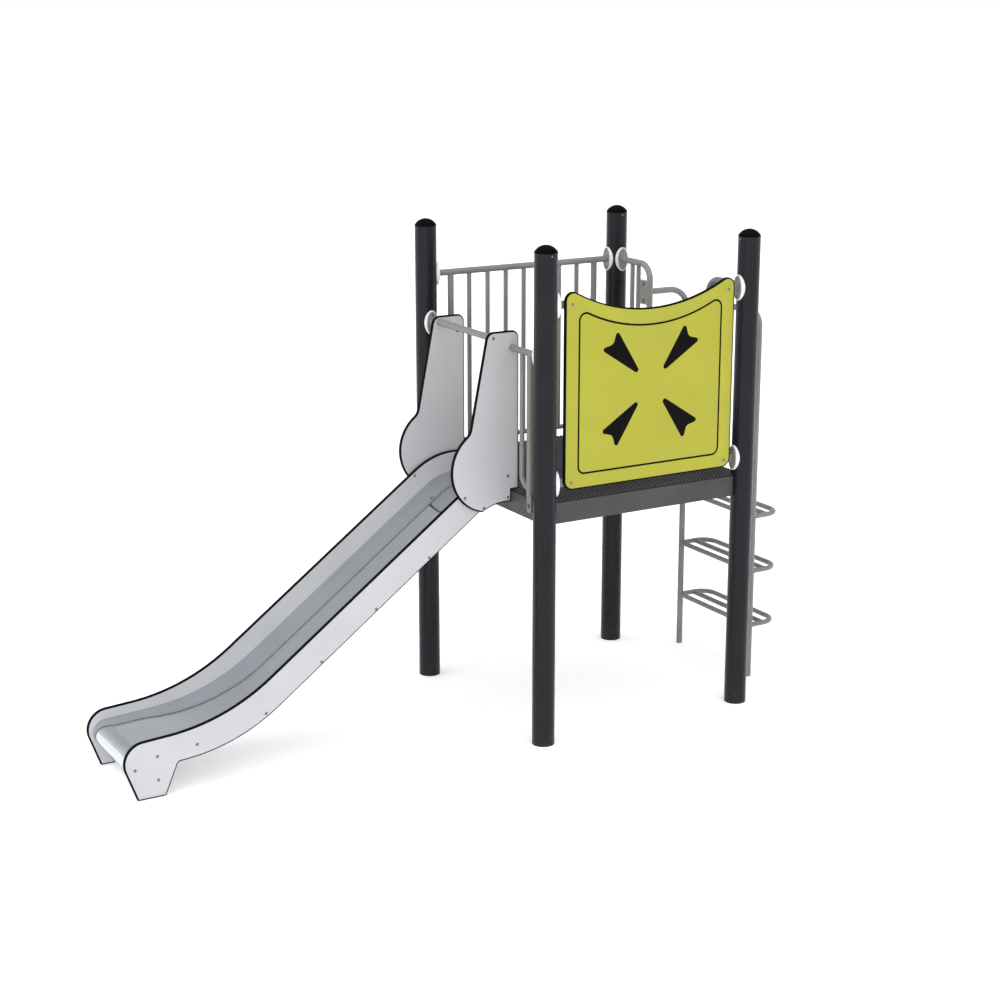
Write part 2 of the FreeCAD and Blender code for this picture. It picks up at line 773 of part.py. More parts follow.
def side_outline():
    top_knee = line_meet(0, 0, side_top, slope, slope_x, slope_z)
    low_knee = line_meet(runout_slope, runout_x, runout_side_top, slope, slope_x, slope_z)
    drop = side_depth * math.hypot(1, slope)
    under_top = line_meet(0, 0, side_top - side_depth, slope, slope_x, slope_z - drop)
    under_low = line_meet(runout_slope, runout_x, runout_side_bottom, slope, slope_x, slope_z - drop)
    brow_z = runout_side_top + runout_slope * foot_brow
    outline = [
        (-half_bay, side_top), top_knee, low_knee, (runout_x + foot_brow, brow_z),
        (runout_x + foot_front, 0), (runout_x + foot_back, 0), (runout_x + foot_heel, foot_heel_z),
        under_low, under_top, (-half_bay, side_top - side_depth),
    ]
    radii = [0, side_crest_radius, side_dip_radius, side_brow_radius, side_foot_radius, side_foot_radius,
             side_heel_radius, under_dip_radius, under_crest_radius, 0]
    return outline, radii


def slide_side():
    """Side board on the -Y side."""
    outline, radii = side_outline()
    board = plate_xz(outline, radii, -slide_half_width, side_thickness)
    spots = bed_screw_spots + wing_low_spots + wing_high_spots + [foot_tie_spot]
    return drilled(board, [V(x, -slide_half_width, z) for x, z in spots], V(0, 1, 0), 30)


def foot_tie():
    x, z = foot_tie_spot
    half = slide_half_width - side_thickness
    tie = pipe(V(x, -half, z), V(x, half, z), tube_radius, tube_wall)
    for side in (-1, 1):
        plug = rod(V(x, side * half, z), V(x, side * (half - 12), z), tube_radius - tube_wall)
        tie = tie.fuse(plug)
    return drilled(tie, [V(x, -half, z), V(x, half, z)], V(0, 1, 0), 30)


def wing():
    """Tall wing on the -Y side, outside the slide's side board."""
    y0 = -wing_outer
    front_x = -half_bay - wing_front_top
    back_x = -half_bay + wing_back
    neck_z = deck_height + wing_neck_rise
    neck_x = front_x - wing_lean * (wing_top - neck_z)
    body = plate_xz([(back_x, deck_height), (back_x, wing_top), (front_x, wing_top),
                     (neck_x, neck_z), (lobe_x, lobe_z), (-half_bay, lobe_z),
                     (-half_bay, deck_height)],
                    [0, wing_back_radius, wing_front_radius, 0, 0, 0, 0], y0, wing_thickness)
    lobe = Part.makeCylinder(lobe_radius, wing_thickness, V(lobe_x, y0, lobe_z), V(0, 1, 0))
    keep = box(lobe_x - lobe_radius, -half_bay, y0, y0 + wing_thickness,
               lobe_z - lobe_radius, lobe_z + lobe_radius)
    shape = fused([body, lobe.common(keep)])
    cusp_x = -half_bay - wing_cusp_run
    cusp_z = lobe_z - math.sqrt(lobe_radius ** 2 - (cusp_x - lobe_x) ** 2)
    below = lobe_z - 2 * lobe_radius
    arch = [
        Part.Arc(V(cusp_x, y0, cusp_z), V(-half_bay - wing_arch_run, y0, wing_heel_z - wing_arch_sag),
                 V(-half_bay, y0, wing_heel_z)).toShape(),
        Part.makeLine(V(-half_bay, y0, wing_heel_z), V(-half_bay + 5, y0, below)),
        Part.makeLine(V(-half_bay + 5, y0, below), V(cusp_x, y0, below)),
        Part.makeLine(V(cusp_x, y0, below), V(cusp_x, y0, cusp_z)),
    ]
    shape = shape.cut(Part.Face(Part.Wire(arch)).extrude(V(0, wing_thickness, 0)))
    neck = [edge for edge in shape.Edges
            if abs(edge.BoundBox.YLength - wing_thickness) < 0.01
            and edge.BoundBox.XMin < front_x - 1
            and lobe_z + lobe_radius / 2 < edge.BoundBox.ZMin < neck_z + lobe_radius / 4]
    shape = shape.makeFillet(wing_neck_radius, neck)
    spots = wing_low_spots + wing_high_spots + [(crossbar_x, crossbar_height), (-half_bay, hoop_height)]
    return drilled(shape, [V(x, y0, z) for x, z in spots], V(0, 1, 0), 30)


def end_plug(x, y, z, inward, radius):
    """Threaded plug welded in a tube's end for the screw that holds it."""
    plug = rod(V(x, y, z), V(x, y + inward * 25, z), radius)
    return drilled(plug, [V(x, y, z)], V(0, 1, 0), 30)


def crossbar():
    x, z = crossbar_x, crossbar_height
    end = slide_half_width
    bar = pipe(V(x, -end, z), V(x, end, z), tube_radius, tube_wall)
    plugs = [end_plug(x, side * end, z, -side, tube_radius - tube_wall) for side in (-1, 1)]
    return fused([bar] + plugs)


def hoop_rail():
    """Short rail from the post flange to the wing, -Y side."""
    x, z = -half_bay, hoop_height
    y_wing = -wing_outer
    y_post = -half_bay + flange_face
    rail = pipe(V(x, y_post, z), V(x, y_wing, z), tube_radius, tube_wall)
    plug = end_plug(x, y_wing, z, -1, tube_radius - tube_wall)
    return fused([rail, plug, facing(flange_plate(), posts["slide_panel"], 90, z)])


def hoop_upright():
    x, y = -half_bay, -hoop_post_offset
    rail = (V(x, -half_bay, hoop_height), V(x, 0, hoop_height), tube_radius)
    tube = bar_between(x, y, frame_top + tab_lap, hoop_height, tube_radius, tube_wall, rail)
    return tube.fuse(frame_tab(-half_bay, y))


def hoop_inner_bar():
    x = -half_bay
    bend = hoop_post_offset - hoop_bar_offset
    points = [V(x, -hoop_bar_offset, hoop_height), V(x, -hoop_bar_offset, hoop_foot_height),
              V(x, -hoop_post_offset, hoop_foot_height)]
    bar = bent_pipe(points, [0, bend - tube_radius, 0], bar_radius, bar_wall)
    bar = bar.cut(rod(V(x, -half_bay, hoop_height), V(x, 0, hoop_height), tube_radius))
    y = -hoop_post_offset
    upright = rod(V(x, y, frame_top), V(x, y, hoop_height), tube_radius)
    return bar.cut(upright)


def both_y(shapes):
    return shapes + [mirrored_y(one) for one in shapes]


def side_screws():
    y = -slide_half_width
    spots = bed_screw_spots + [foot_tie_spot]
    depth = side_thickness + 10
    return both_y([screw(V(x, y, z), V(0, -1, 0), depth) for x, z in spots])


def wing_screws():
    """Into the bed flange, the crossbar and the hoop rail."""
    y = -wing_outer
    depth = wing_thickness + side_thickness + 8
    shapes = [screw(V(x, y, z), V(0, -1, 0), depth) for x, z in wing_low_spots]
    shapes.append(screw(V(crossbar_x, y, crossbar_height), V(0, -1, 0), wing_thickness + 20))
    inner = V(-half_bay, -slide_half_width, hoop_height)
    shapes.append(screw(inner, V(0, 1, 0), wing_thickness + 20))
    return both_y(shapes)


def wing_bolts():
    """Through wing and side board, with a domed nut inside the chute."""
    y = -wing_outer
    grip = wing_thickness + side_thickness
    shapes = []
    for x, z in wing_high_spots:
        body = screw(V(x, y, z), V(0, -1, 0), grip)
        nut = round_head(V(x, y + grip, z), V(0, 1, 0), 8, 4)
        shapes.append(body.fuse(nut))
    return both_y(shapes)


# ---- ladder ----------------------------------------------------------------
plate_x = half_bay + plate_thickness / 2
plate_y0 = end_tube_offset + tube_radius
plate_y1 = baluster_offsets[0] - bar_radius
plate_bolt_spots = [V(half_bay, -rail_offset, handrail_height + side * plate_bolt_pitch / 2)
                    for side in (-1, 1)]


def joint_plate(x0, y0, y1, radius):
    z0 = handrail_height - plate_height / 2
    z1 = handrail_height + plate_height / 2
    plate = box(x0, x0 + plate_thickness, y0, y1, z0, z1)
    corners = [edge for edge in plate.Edges if edge.BoundBox.XLength > plate_thickness - 0.1]
    if radius:
        plate = plate.makeFillet(radius, corners)
    return drilled(plate, plate_bolt_spots, V(1, 0, 0), 30, bolt_radius)


def ladder_rail():
    """Handrail, bend and rail down to the ground in one tube, -Y side."""
    x0 = plate_x + plate_thickness
    points = [V(x0, -rail_offset, handrail_height), V(ladder_x, -rail_offset, handrail_height),
              V(ladder_x, -rail_offset, 0)]
    tube = bent_pipe(points, [0, handrail_bend, 0], tube_radius, tube_wall)
    foot_plate = joint_plate(plate_x, -plate_y1 + 5, -plate_y0 - 5, 10)
    return tube.fuse(foot_plate)


def rail_cores(z):
    """The two ladder rails where a tread meets them."""
    half = 3 * tread_radius
    sides = (-rail_offset, rail_offset)
    return [rod(V(ladder_x, y, z - half), V(ladder_x, y, z + half), tube_radius) for y in sides]


def tread_sides(z):
    """The straight sides of the tread's loop, as solid rods."""
    x1 = ladder_x + 2 * tread_bar_pitch - tread_bend
    return [rod(V(ladder_x, side * rail_offset, z), V(x1, side * rail_offset, z), tread_radius)
            for side in (-1, 1)]


def tread_loop(z):
    x1 = ladder_x + 2 * tread_bar_pitch
    points = [V(ladder_x, -rail_offset, z), V(x1, -rail_offset, z),
              V(x1, rail_offset, z), V(ladder_x, rail_offset, z)]
    loop = bent_pipe(points, [0, tread_bend, tread_bend, 0], tread_radius, tread_wall)
    return loop.cut(rail_cores(z))


def tread_bar(x, z):
    """A straight tread tube, coped to the rails and to the loop's sides."""
    bar = pipe(V(x, -rail_offset, z), V(x, rail_offset, z), tread_radius, tread_wall)
    return bar.cut(rail_cores(z) + tread_sides(z))


tread_heights = [first_tread + k * tread_pitch for k in range(treads)]


def half_guard():
    """Top rail from the post flange bent down into the end tube, -Y side."""
    x, z = half_bay, guard_rail_height
    points = [V(x, -half_bay + flange_face, z), V(x, -end_tube_offset, z),
              V(x, -end_tube_offset, frame_top + tab_lap)]
    tube = bent_pipe(points, [0, half_guard_bend, 0], tube_radius, tube_wall)
    plate = joint_plate(half_bay - plate_thickness / 2, -plate_y1, -plate_y0 + 2, 0)
    inside = rod(V(x, -end_tube_offset, handrail_height - plate_height),
                 V(x, -end_tube_offset, handrail_height + plate_height), tube_radius - 1)
    tab = mirrored_x(frame_tab(-half_bay, -end_tube_offset))
    flange = facing(flange_plate(), posts["ladder_panel"], 90, z)
    return fused([tube, plate.cut(inside), tab, flange])


def half_guard_low_bar():
    x, z = half_bay, guard_bottom_height
    y0, y1 = -baluster_offsets[1] - bar_radius, -end_tube_offset
    bar = pipe(V(x, y0, z), V(x, y1, z), bar_radius, bar_wall)
    return bar.cut(rod(V(x, y1, frame_top), V(x, y1, handrail_height), tube_radius))


def half_guard_balusters():
    x = half_bay
    top = (V(x, -half_bay, guard_rail_height), V(x, 0, guard_rail_height), tube_radius)
    low = (V(x, -half_bay, guard_bottom_height), V(x, 0, guard_bottom_height), bar_radius)
    return [bar_between(x, -y, guard_bottom_height, guard_rail_height, bar_radius, bar_wall, top, low)
            for y in baluster_offsets]


def plate_bolts():
    """Head towards the deck, nut on the ladder side."""
    return [hex_bolt(V(half_bay - plate_thickness / 2, at.y, at.z), V(-1, 0, 0), 2 * plate_thickness)
            for at in plate_bolt_spots]


# ---- bolts that hold the tabs and the chute to the deck frame ---------------
def drilled_channel_slide():
    channel = turned_channel(-90)
    spots = [V(-half_bay, side * hoop_post_offset, tab_bolt_z) for side in (-1, 1)]
    return drilled(channel, spots + entry_bolt_spots, V(1, 0, 0), 20, bolt_radius)


def drilled_channel_ladder():
    channel = turned_channel(90)
    spots = [V(half_bay, side * end_tube_offset, tab_bolt_z) for side in (-1, 1)]
    return drilled(channel, spots, V(1, 0, 0), 20, bolt_radius)


def drilled_channel_guard():
    channel = turned_channel(180)
    spots = [V(side * guard_half_width, half_bay, tab_bolt_z) for side in (-1, 1)]
    return drilled(channel, spots, V(0, 1, 0), 20, bolt_radius)


def tab_bolts():
    slide = both_y([tab_bolt(-half_bay, -hoop_post_offset)])
    ladder = both_y([mirrored_x(tab_bolt(-half_bay, -end_tube_offset))])
    guard = []
    for side in (-1, 1):
        bolt = tab_bolt(-half_bay, side * guard_half_width)
        bolt.rotate(V(0, 0, 0), UP, -90)
        guard.append(bolt)
    return slide + ladder + guard


def entry_bolts():
    grip = bed_thickness + channel_wall
    return [hex_bolt(V(-half_bay - bed_thickness, at.y, at.z), V(-1, 0, 0), grip)
            for at in entry_bolt_spots]


# ---- write every piece -----------------------------------------------------
def collected(pieces):
    """One shape per node, all moved so that the whole stands centred on X."""
    nodes = {}
    for name, shapes in pieces.items():
        solids = shapes if isinstance(shapes, list) else [shapes]
        nodes[name] = Part.makeCompound(solids) if len(solids) > 1 else solids[0].copy()
    spans = [shape.optimalBoundingBox(False, False) for shape in nodes.values()]
    left = min(span.XMin for span in spans)
    right = max(span.XMax for span in spans)
    for shape in nodes.values():
        shape.translate(V(-(left + right) / 2, 0, 0))
    return nodes


def all_pieces():
    pieces = {}
    for name in posts:
        pieces["post_" + name] = post_tube(name)
        pieces["cap_" + name] = cap(name)
    pieces["cap_screws"] = cap_screws()

    pieces["deck_channel_panel"] = deck_channel()
    pieces["deck_channel_guard"] = drilled_channel_guard()
    pieces["deck_channel_slide"] = drilled_channel_slide()
    pieces["deck_channel_ladder"] = drilled_channel_ladder()
    pieces["deck_bearers"] = [deck_bearer(side) for side in (-1, 1)]
    pieces["deck_board"] = deck_board()
    pieces["deck_screws"] = deck_screws()
    pieces["deck_bolts"] = deck_bolts()

    pieces["guard_top_rail"] = guard_top_rail()
    pieces["guard_bottom_rail"] = guard_bottom_rail()
    pieces["guard_end_tube_slide"] = guard_end_tube(-1)
    pieces["guard_end_tube_ladder"] = guard_end_tube(1)
    pieces["guard_bars"] = guard_bars_all()
    pieces["guard_collars"] = collars(guard_flanges)

    pieces["coloured_panel"] = coloured_panel()
    pieces["panel_brackets"] = panel_brackets()
    pieces["panel_collars"] = collars(panel_flanges)
    pieces["panel_screws"] = panel_screws()

    pieces["slide_bed"] = slide_bed()
    side = slide_side()
    pieces["slide_side_panel"] = side
    pieces["slide_side_guard"] = mirrored_y(side)
    pieces["slide_foot_tie"] = foot_tie()
    one_wing = wing()
    pieces["wing_panel"] = one_wing
    pieces["wing_guard"] = mirrored_y(one_wing)
    pieces["wing_crossbar"] = crossbar()
    pieces["side_screws"] = side_screws()
    pieces["wing_screws"] = wing_screws()
    pieces["wing_bolts"] = wing_bolts()

    for name, shape in (("hoop_rail", hoop_rail()), ("hoop_upright", hoop_upright())):
        pieces[name + "_panel"] = shape
        pieces[name + "_guard"] = mirrored_y(shape)
    pieces["hoop_inner_bars"] = both_y([hoop_inner_bar()])
    pieces["hoop_collars"] = collars(hoop_flanges)

    rail = ladder_rail()
    pieces["ladder_rail_panel"] = rail
    pieces["ladder_rail_guard"] = mirrored_y(rail)
    for number, z in enumerate(tread_heights, 1):
        pieces["tread_loop_%d" % number] = tread_loop(z)
    pieces["tread_back_bars"] = [tread_bar(ladder_x, z) for z in tread_heights]
    pieces["tread_middle_bars"] = [tread_bar(ladder_x + tread_bar_pitch, z) for z in tread_heights]

    guard = half_guard()
    pieces["half_guard_panel"] = guard
    pieces["half_guard_guard"] = mirrored_y(guard)
    pieces["half_guard_low_bars"] = both_y([half_guard_low_bar()])
    pieces["half_guard_balusters"] = both_y(half_guard_balusters())
    pieces["ladder_collars"] = collars(ladder_flanges)

    pieces["plate_bolts"] = both_y(plate_bolts())
    pieces["flange_screws"] = flange_screws()
    pieces["tab_bolts"] = tab_bolts()
    pieces["entry_bolts"] = entry_bolts()
    return pieces


os.makedirs("parts", exist_ok=True)
for node, shape in collected(all_pieces()).items():
    shape.exportStep("parts/" + node + ".step")
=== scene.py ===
import math
import bmesh
import bpy
from mathutils import Matrix, Vector
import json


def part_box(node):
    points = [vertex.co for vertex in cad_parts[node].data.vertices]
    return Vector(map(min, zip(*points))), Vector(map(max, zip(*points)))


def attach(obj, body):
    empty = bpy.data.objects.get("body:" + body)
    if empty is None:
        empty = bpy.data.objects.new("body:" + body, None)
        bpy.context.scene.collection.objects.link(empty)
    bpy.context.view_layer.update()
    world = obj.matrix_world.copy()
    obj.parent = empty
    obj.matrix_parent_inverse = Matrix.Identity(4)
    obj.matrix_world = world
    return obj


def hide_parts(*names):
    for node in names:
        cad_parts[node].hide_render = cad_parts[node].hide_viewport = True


# The looks of a play tower with a straight slide.  Everything is in metres, in
# the frame of the parts: +Z up, the slide runs out to -X, the ladder stands on
# +X, the coloured panel closes -Y and the barred guard +Y.

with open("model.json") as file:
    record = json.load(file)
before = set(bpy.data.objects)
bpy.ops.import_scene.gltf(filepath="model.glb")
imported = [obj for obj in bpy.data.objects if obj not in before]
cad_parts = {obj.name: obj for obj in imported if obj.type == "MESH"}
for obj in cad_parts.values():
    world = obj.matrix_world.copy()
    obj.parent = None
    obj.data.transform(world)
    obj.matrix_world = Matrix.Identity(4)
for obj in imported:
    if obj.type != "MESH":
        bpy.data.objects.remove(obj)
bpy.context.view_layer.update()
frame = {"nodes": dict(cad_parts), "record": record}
cad = frame["nodes"]

# ---- places read from the frame ---------------------------------------------
corners = ("slide_guard", "slide_panel", "ladder_guard", "ladder_panel")


def middle(name):
    low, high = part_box(name)
    return (low + high) / 2


post_middle = {name: middle("post_" + name) for name in corners}
tower_x = (post_middle["slide_panel"].x + post_middle["ladder_panel"].x) / 2
half_bay = post_middle["ladder_panel"].x - tower_x
post_radius = (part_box("post_slide_panel")[1].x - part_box("post_slide_panel")[0].x) / 2
post_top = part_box("post_slide_panel")[1].z
deck_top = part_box("deck_board")[1].z
x_way, y_way, z_way = Vector((1, 0, 0)), Vector((0, 1, 0)), Vector((0, 0, 1))


# ---- material helpers ---------------------------------------------------------
def add(tree, kind, inputs=None, **settings):
    """One node, with its settings and its unlinked input values."""
    made = tree.nodes.new(kind)
    for name, value in settings.items():
        setattr(made, name, value)
    for name, value in (inputs or {}).items():
        made.inputs[name].default_value = value
    return made


def join(tree, source, target):
    tree.links.new(source, target)


def start(name, **constants):
    """A new material, its tree and its shader, with fixed shader values."""
    material = bpy.data.materials.new(name)
    material.use_nodes = True
    tree = material.node_tree
    shader = tree.nodes["Principled BSDF"]
    for key, value in constants.items():
        shader.inputs[key.replace("_", " ")].default_value = value
    return material, tree, shader


def noise(tree, size, stretch=(1, 1, 1), detail=3.0, shift=0.0):
    """Noise with spots of about `size`, drawn out along the axes with a small stretch value."""
    coordinates = add(tree, "ShaderNodeTexCoord")
    mapping = add(tree, "ShaderNodeMapping", {"Scale": stretch, "Location": (shift, shift, shift)})
    pattern = add(tree, "ShaderNodeTexNoise", {"Scale": 1 / size, "Detail": detail, "Roughness": 0.55})
    join(tree, coordinates.outputs["Object"], mapping.inputs["Vector"])
    join(tree, mapping.outputs["Vector"], pattern.inputs["Vector"])
    return pattern.outputs["Fac"]


def span(tree, value, low, high, at_low, at_high):
    """Maps low..high of a value to at_low..at_high, and holds it there."""
    limits = {"From Min": low, "From Max": high, "To Min": at_low, "To Max": at_high}
    made = add(tree, "ShaderNodeMapRange", limits)
    join(tree, value, made.inputs["Value"])
    return made.outputs["Result"]


def times(tree, first, second):
    """The product of two values."""
    made = add(tree, "ShaderNodeMath", operation="MULTIPLY")
    join(tree, first, made.inputs[0])
    join(tree, second, made.inputs[1])
    return made.outputs["Value"]


def tint(tree, share, first, second):
    """Goes from the first colour to the second as share goes from 0 to 1; the first may be a socket."""
    made = add(tree, "ShaderNodeMix", data_type="RGBA")
    join(tree, share, made.inputs["Factor"])
    sockets = [socket for socket in made.inputs if socket.type == "RGBA"]
    for socket, colour in zip(sockets, (first, second)):
        if isinstance(colour, tuple):
            socket.default_value = (*colour, 1)
        else:
            join(tree, colour, socket)
    return next(socket for socket in made.outputs if socket.type == "RGBA")


def relief(tree, shader, height, depth, strength=1.0, under=None):
    """Bump of the given depth; `under` is an earlier relief that it lies on."""
    made = add(tree, "ShaderNodeBump", {"Strength": strength, "Distance": depth})
    join(tree, height, made.inputs["Height"])
    if under is not None:
        join(tree, under, made.inputs["Normal"])
    join(tree, made.outputs["Normal"], shader.inputs["Normal"])
    return made.outputs["Normal"]


def coordinate(tree, axis, system="Object"):
    """One of X, Y and Z of the place that is being coloured."""
    coordinates = add(tree, "ShaderNodeTexCoord")
    parts = add(tree, "ShaderNodeSeparateXYZ")
    join(tree, coordinates.outputs[system], parts.inputs["Vector"])
    return parts.outputs[axis]


def shade(colour, factor):
    """The colour made darker or lighter."""
    return tuple(channel * factor for channel in colour)


# ---- materials ------------------------------------------------------------------
def powder_coat(name, colour, gloss=0.42, shine=0.32):
    """Baked powder paint: orange peel, a little mottling, rubbed spots and dust near the ground."""
    material, tree, shader = start(name, Specular_IOR_Level=shine)
    mottle = span(tree, noise(tree, 0.22), 0.35, 0.65, 0, 1)
    base = tint(tree, mottle, shade(colour, 0.9), shade(colour, 1.1))
    speckle = span(tree, noise(tree, 0.0012, detail=1.0), 0.58, 0.74, 0, 0.25)
    base = tint(tree, speckle, base, shade(colour, 1.25))
    rubbed = span(tree, noise(tree, 0.014, (1, 1, 0.25), shift=3.0), 0.66, 0.8, 0, 0.16)
    base = tint(tree, rubbed, base, shade(colour, 1.35))
    low = span(tree, coordinate(tree, "Z"), 0.0, 0.12, 0.07, 0)
    dust = times(tree, low, span(tree, noise(tree, 0.03, shift=7.0), 0.35, 0.7, 0, 1))
    base = tint(tree, dust, base, (0.17, 0.16, 0.15))
    join(tree, base, shader.inputs["Base Color"])
    rough = span(tree, noise(tree, 0.05, shift=1.0), 0.3, 0.7, gloss - 0.06, gloss + 0.08)
    join(tree, rough, shader.inputs["Roughness"])
    relief(tree, shader, noise(tree, 0.0045, detail=1.0), 0.0001, 0.10)
    return material


def board_skin(name, colour):
    """Coloured outer layer of a plastic board: fine pebble, faint handling marks."""
    material, tree, shader = start(name, Specular_IOR_Level=0.4)
    cloud = span(tree, noise(tree, 0.35), 0.35, 0.65, 0, 1)
    base = tint(tree, cloud, shade(colour, 0.965), shade(colour, 1.03))
    marks = span(tree, noise(tree, 0.006, (0.12, 1, 0.6), shift=5.0), 0.68, 0.76, 0, 0.3)
    base = tint(tree, marks, base, shade(colour, 0.82))
    scrape = span(tree, noise(tree, 0.003, (1, 1, 0.05), shift=9.0), 0.7, 0.78, 0, 0.35)
    base = tint(tree, scrape, base, tuple(min(1, channel * 1.12 + 0.02) for channel in colour))
    join(tree, base, shader.inputs["Base Color"])
    rough = span(tree, noise(tree, 0.04, shift=2.0), 0.3, 0.7, 0.42, 0.56)
    join(tree, rough, shader.inputs["Roughness"])
    pebble = relief(tree, shader, noise(tree, 0.0011, detail=2.0), 0.0003, 0.45)
    relief(tree, shader, noise(tree, 0.12, detail=1.0), 0.0008, 0.15, pebble)
    return material


def board_core():
    """Black middle layer, seen on every routed edge, with the cutter's marks."""
    material, tree, shader = start("board_core", Specular_IOR_Level=0.06)
    marks = noise(tree, 0.0011, (0.05, 1, 0.05))
    base = tint(tree, span(tree, marks, 0.4, 0.75, 0, 1), (0.002, 0.002, 0.0023), (0.005, 0.005, 0.0058))
    chalk = span(tree, noise(tree, 0.01, shift=4.0), 0.68, 0.8, 0, 0.12)
    join(tree, tint(tree, chalk, base, (0.03, 0.03, 0.03)), shader.inputs["Base Color"])
    join(tree, span(tree, marks, 0.3, 0.7, 0.5, 0.68), shader.inputs["Roughness"])
    relief(tree, shader, marks, 0.0002, 0.4)
    return material


def chute_steel():
    """Stainless sheet ground along the slide, polished by use in the middle."""
    material, tree, shader = start("chute_steel", Metallic=1.0)
    grain = noise(tree, 0.0009, (0.01, 1, 0.01), detail=2.0)
    broad = noise(tree, 0.012, (0.02, 1, 0.02), shift=2.0)
    base = tint(tree, span(tree, broad, 0.35, 0.65, 0, 1), (0.545, 0.57, 0.60), (0.61, 0.63, 0.645))
    scratch = span(tree, noise(tree, 0.0025, (0.015, 1, 0.02), shift=6.0), 0.7, 0.76, 0, 0.3)
    join(tree, tint(tree, scratch, base, (0.70, 0.70, 0.69)), shader.inputs["Base Color"])
    rough = span(tree, grain, 0.25, 0.75, 0.09, 0.17)
    side = add(tree, "ShaderNodeMath", operation="ABSOLUTE")
    join(tree, coordinate(tree, "Y"), side.inputs[0])
    worn = span(tree, side.outputs["Value"], 0.08, 0.2, 0.72, 1.0)
    join(tree, times(tree, rough, worn), shader.inputs["Roughness"])
    waves = relief(tree, shader, noise(tree, 0.3, detail=1.0), 0.0012, 0.4)
    relief(tree, shader, grain, 0.00003, 0.2, waves)
    return material


def screw_steel():
    """Dull stainless screws with grime in the hollows."""
    colour = (0.21, 0.21, 0.21)
    material, tree, shader = start("screw_steel", Metallic=1.0)
    grime = span(tree, noise(tree, 0.004), 0.45, 0.72, 0, 0.7)
    join(tree, tint(tree, grime, colour, shade(colour, 0.45)), shader.inputs["Base Color"])
    join(tree, span(tree, noise(tree, 0.0015, shift=3.0), 0.3, 0.7, 0.24, 0.46), shader.inputs["Roughness"])
    relief(tree, shader, noise(tree, 0.0006), 0.00005, 0.3)
    return material


def cap_plastic():
    """Glossy black moulding with fine scratches and settled dust."""
    material, tree, shader = start("cap_plastic", Specular_IOR_Level=0.03)
    dust = span(tree, noise(tree, 0.008), 0.64, 0.8, 0, 0.08)
    join(tree, tint(tree, dust, (0.0012, 0.0012, 0.0014), (0.06, 0.06, 0.055)), shader.inputs["Base Color"])
    fine = noise(tree, 0.002, (1, 0.1, 1), shift=2.0)
    join(tree, span(tree, fine, 0.3, 0.75, 0.10, 0.22), shader.inputs["Roughness"])
    relief(tree, shader, noise(tree, 0.02, detail=1.0), 0.0002, 0.2)
    return material


def collar_plastic():
    """Pale plastic rings, a little grimy."""
    material, tree, shader = start("collar_plastic", Specular_IOR_Level=0.45)
    cloud = span(tree, noise(tree, 0.03), 0.35, 0.7, 0, 1)
    base = tint(tree, cloud, (0.72, 0.73, 0.74), (0.80, 0.81, 0.82))
    grime = span(tree, noise(tree, 0.009, shift=4.0), 0.62, 0.78, 0, 0.3)
    join(tree, tint(tree, grime, base, (0.42, 0.41, 0.39)), shader.inputs["Base Color"])
    join(tree, span(tree, noise(tree, 0.01, shift=1.0), 0.3, 0.7, 0.32, 0.46), shader.inputs["Roughness"])
    relief(tree, shader, noise(tree, 0.0012), 0.0001, 0.3)
    return material


def deck_face(name, colour, worn_colour):
    """Black anti-slip board: gritty, greyed where shoes rub it."""
    material, tree, shader = start(name, Specular_IOR_Level=0.35)
    wear = span(tree, noise(tree, 0.16), 0.4, 0.7, 0, 0.7)
    base = tint(tree, wear, colour, worn_colour)
    grit = noise(tree, 0.0012, detail=2.0, shift=3.0)
    base = tint(tree, span(tree, grit, 0.6, 0.75, 0, 0.5), base, shade(worn_colour, 1.8))
    join(tree, base, shader.inputs["Base Color"])
    join(tree, span(tree, grit, 0.3, 0.7, 0.5, 0.72), shader.inputs["Roughness"])
    relief(tree, shader, grit, 0.0003, 0.6)
    return material


def ground_paper():
    """Pale studio floor with an almost invisible tooth."""
    material, tree, shader = start("ground_paper", Roughness=0.9, Specular_IOR_Level=0.1)
    shader.inputs["Emission Color"].default_value = (1, 1, 1, 1)
    shader.inputs["Emission Strength"].default_value = 0.32
    tooth = span(tree, noise(tree, 0.5), 0.3, 0.7, 0, 1)
    join(tree, tint(tree, tooth, (0.88, 0.88, 0.88), (0.9, 0.9, 0.9)), shader.inputs["Base Color"])
    return material


post_coat = powder_coat("post_coat", (0.0080, 0.0085, 0.0118), gloss=0.26, shine=0.19)
frame_coat = powder_coat("frame_coat", (0.047, 0.049, 0.048), gloss=0.44)
tube_coat = powder_coat("tube_coat", (0.190, 0.190, 0.181), gloss=0.32)
light_grey_skin = board_skin("light_grey_skin", (0.475, 0.48, 0.505))
lime_skin = board_skin("lime_skin", (0.352, 0.345, 0.024))
core = board_core()
steel = chute_steel()
screw_metal = screw_steel()
cap_black = cap_plastic()
collar_grey = collar_plastic()
# The deck and its ribs are one black anti-slip material in two tones: the ribs' lighter grey is a painted
# highlight on their tops, and the board's deeper black between them is partly painted shade.
deck_black = deck_face("deck_black", (0.002, 0.002, 0.0022), (0.006, 0.006, 0.0065))
rib_painted_highlight = deck_face("rib_painted_highlight", (0.060, 0.060, 0.063), (0.085, 0.085, 0.088))

slot_material = {
    "post_paint": post_coat,
    "cap_plastic": cap_black,
    "collar_plastic": collar_grey,
    "screw_steel": screw_metal,
    "frame_paint": frame_coat,
    "bearer_steel": frame_coat,
    "deck_plate": deck_black,
    "panel_board": lime_skin,
    "chute_steel": steel,
    "slide_board": light_grey_skin,
    "wing_board": light_grey_skin,
    "tube_paint": tube_coat,
}
slot_of = {part["node"]: part["material_slot"] for part in frame["record"]["subparts"]}


def dress_parts():
    """Every part of the frame gets the finish that its slot names."""
    for name, part in cad.items():
        part.data.materials.clear()
        part.data.materials.append(slot_material[slot_of[name]])


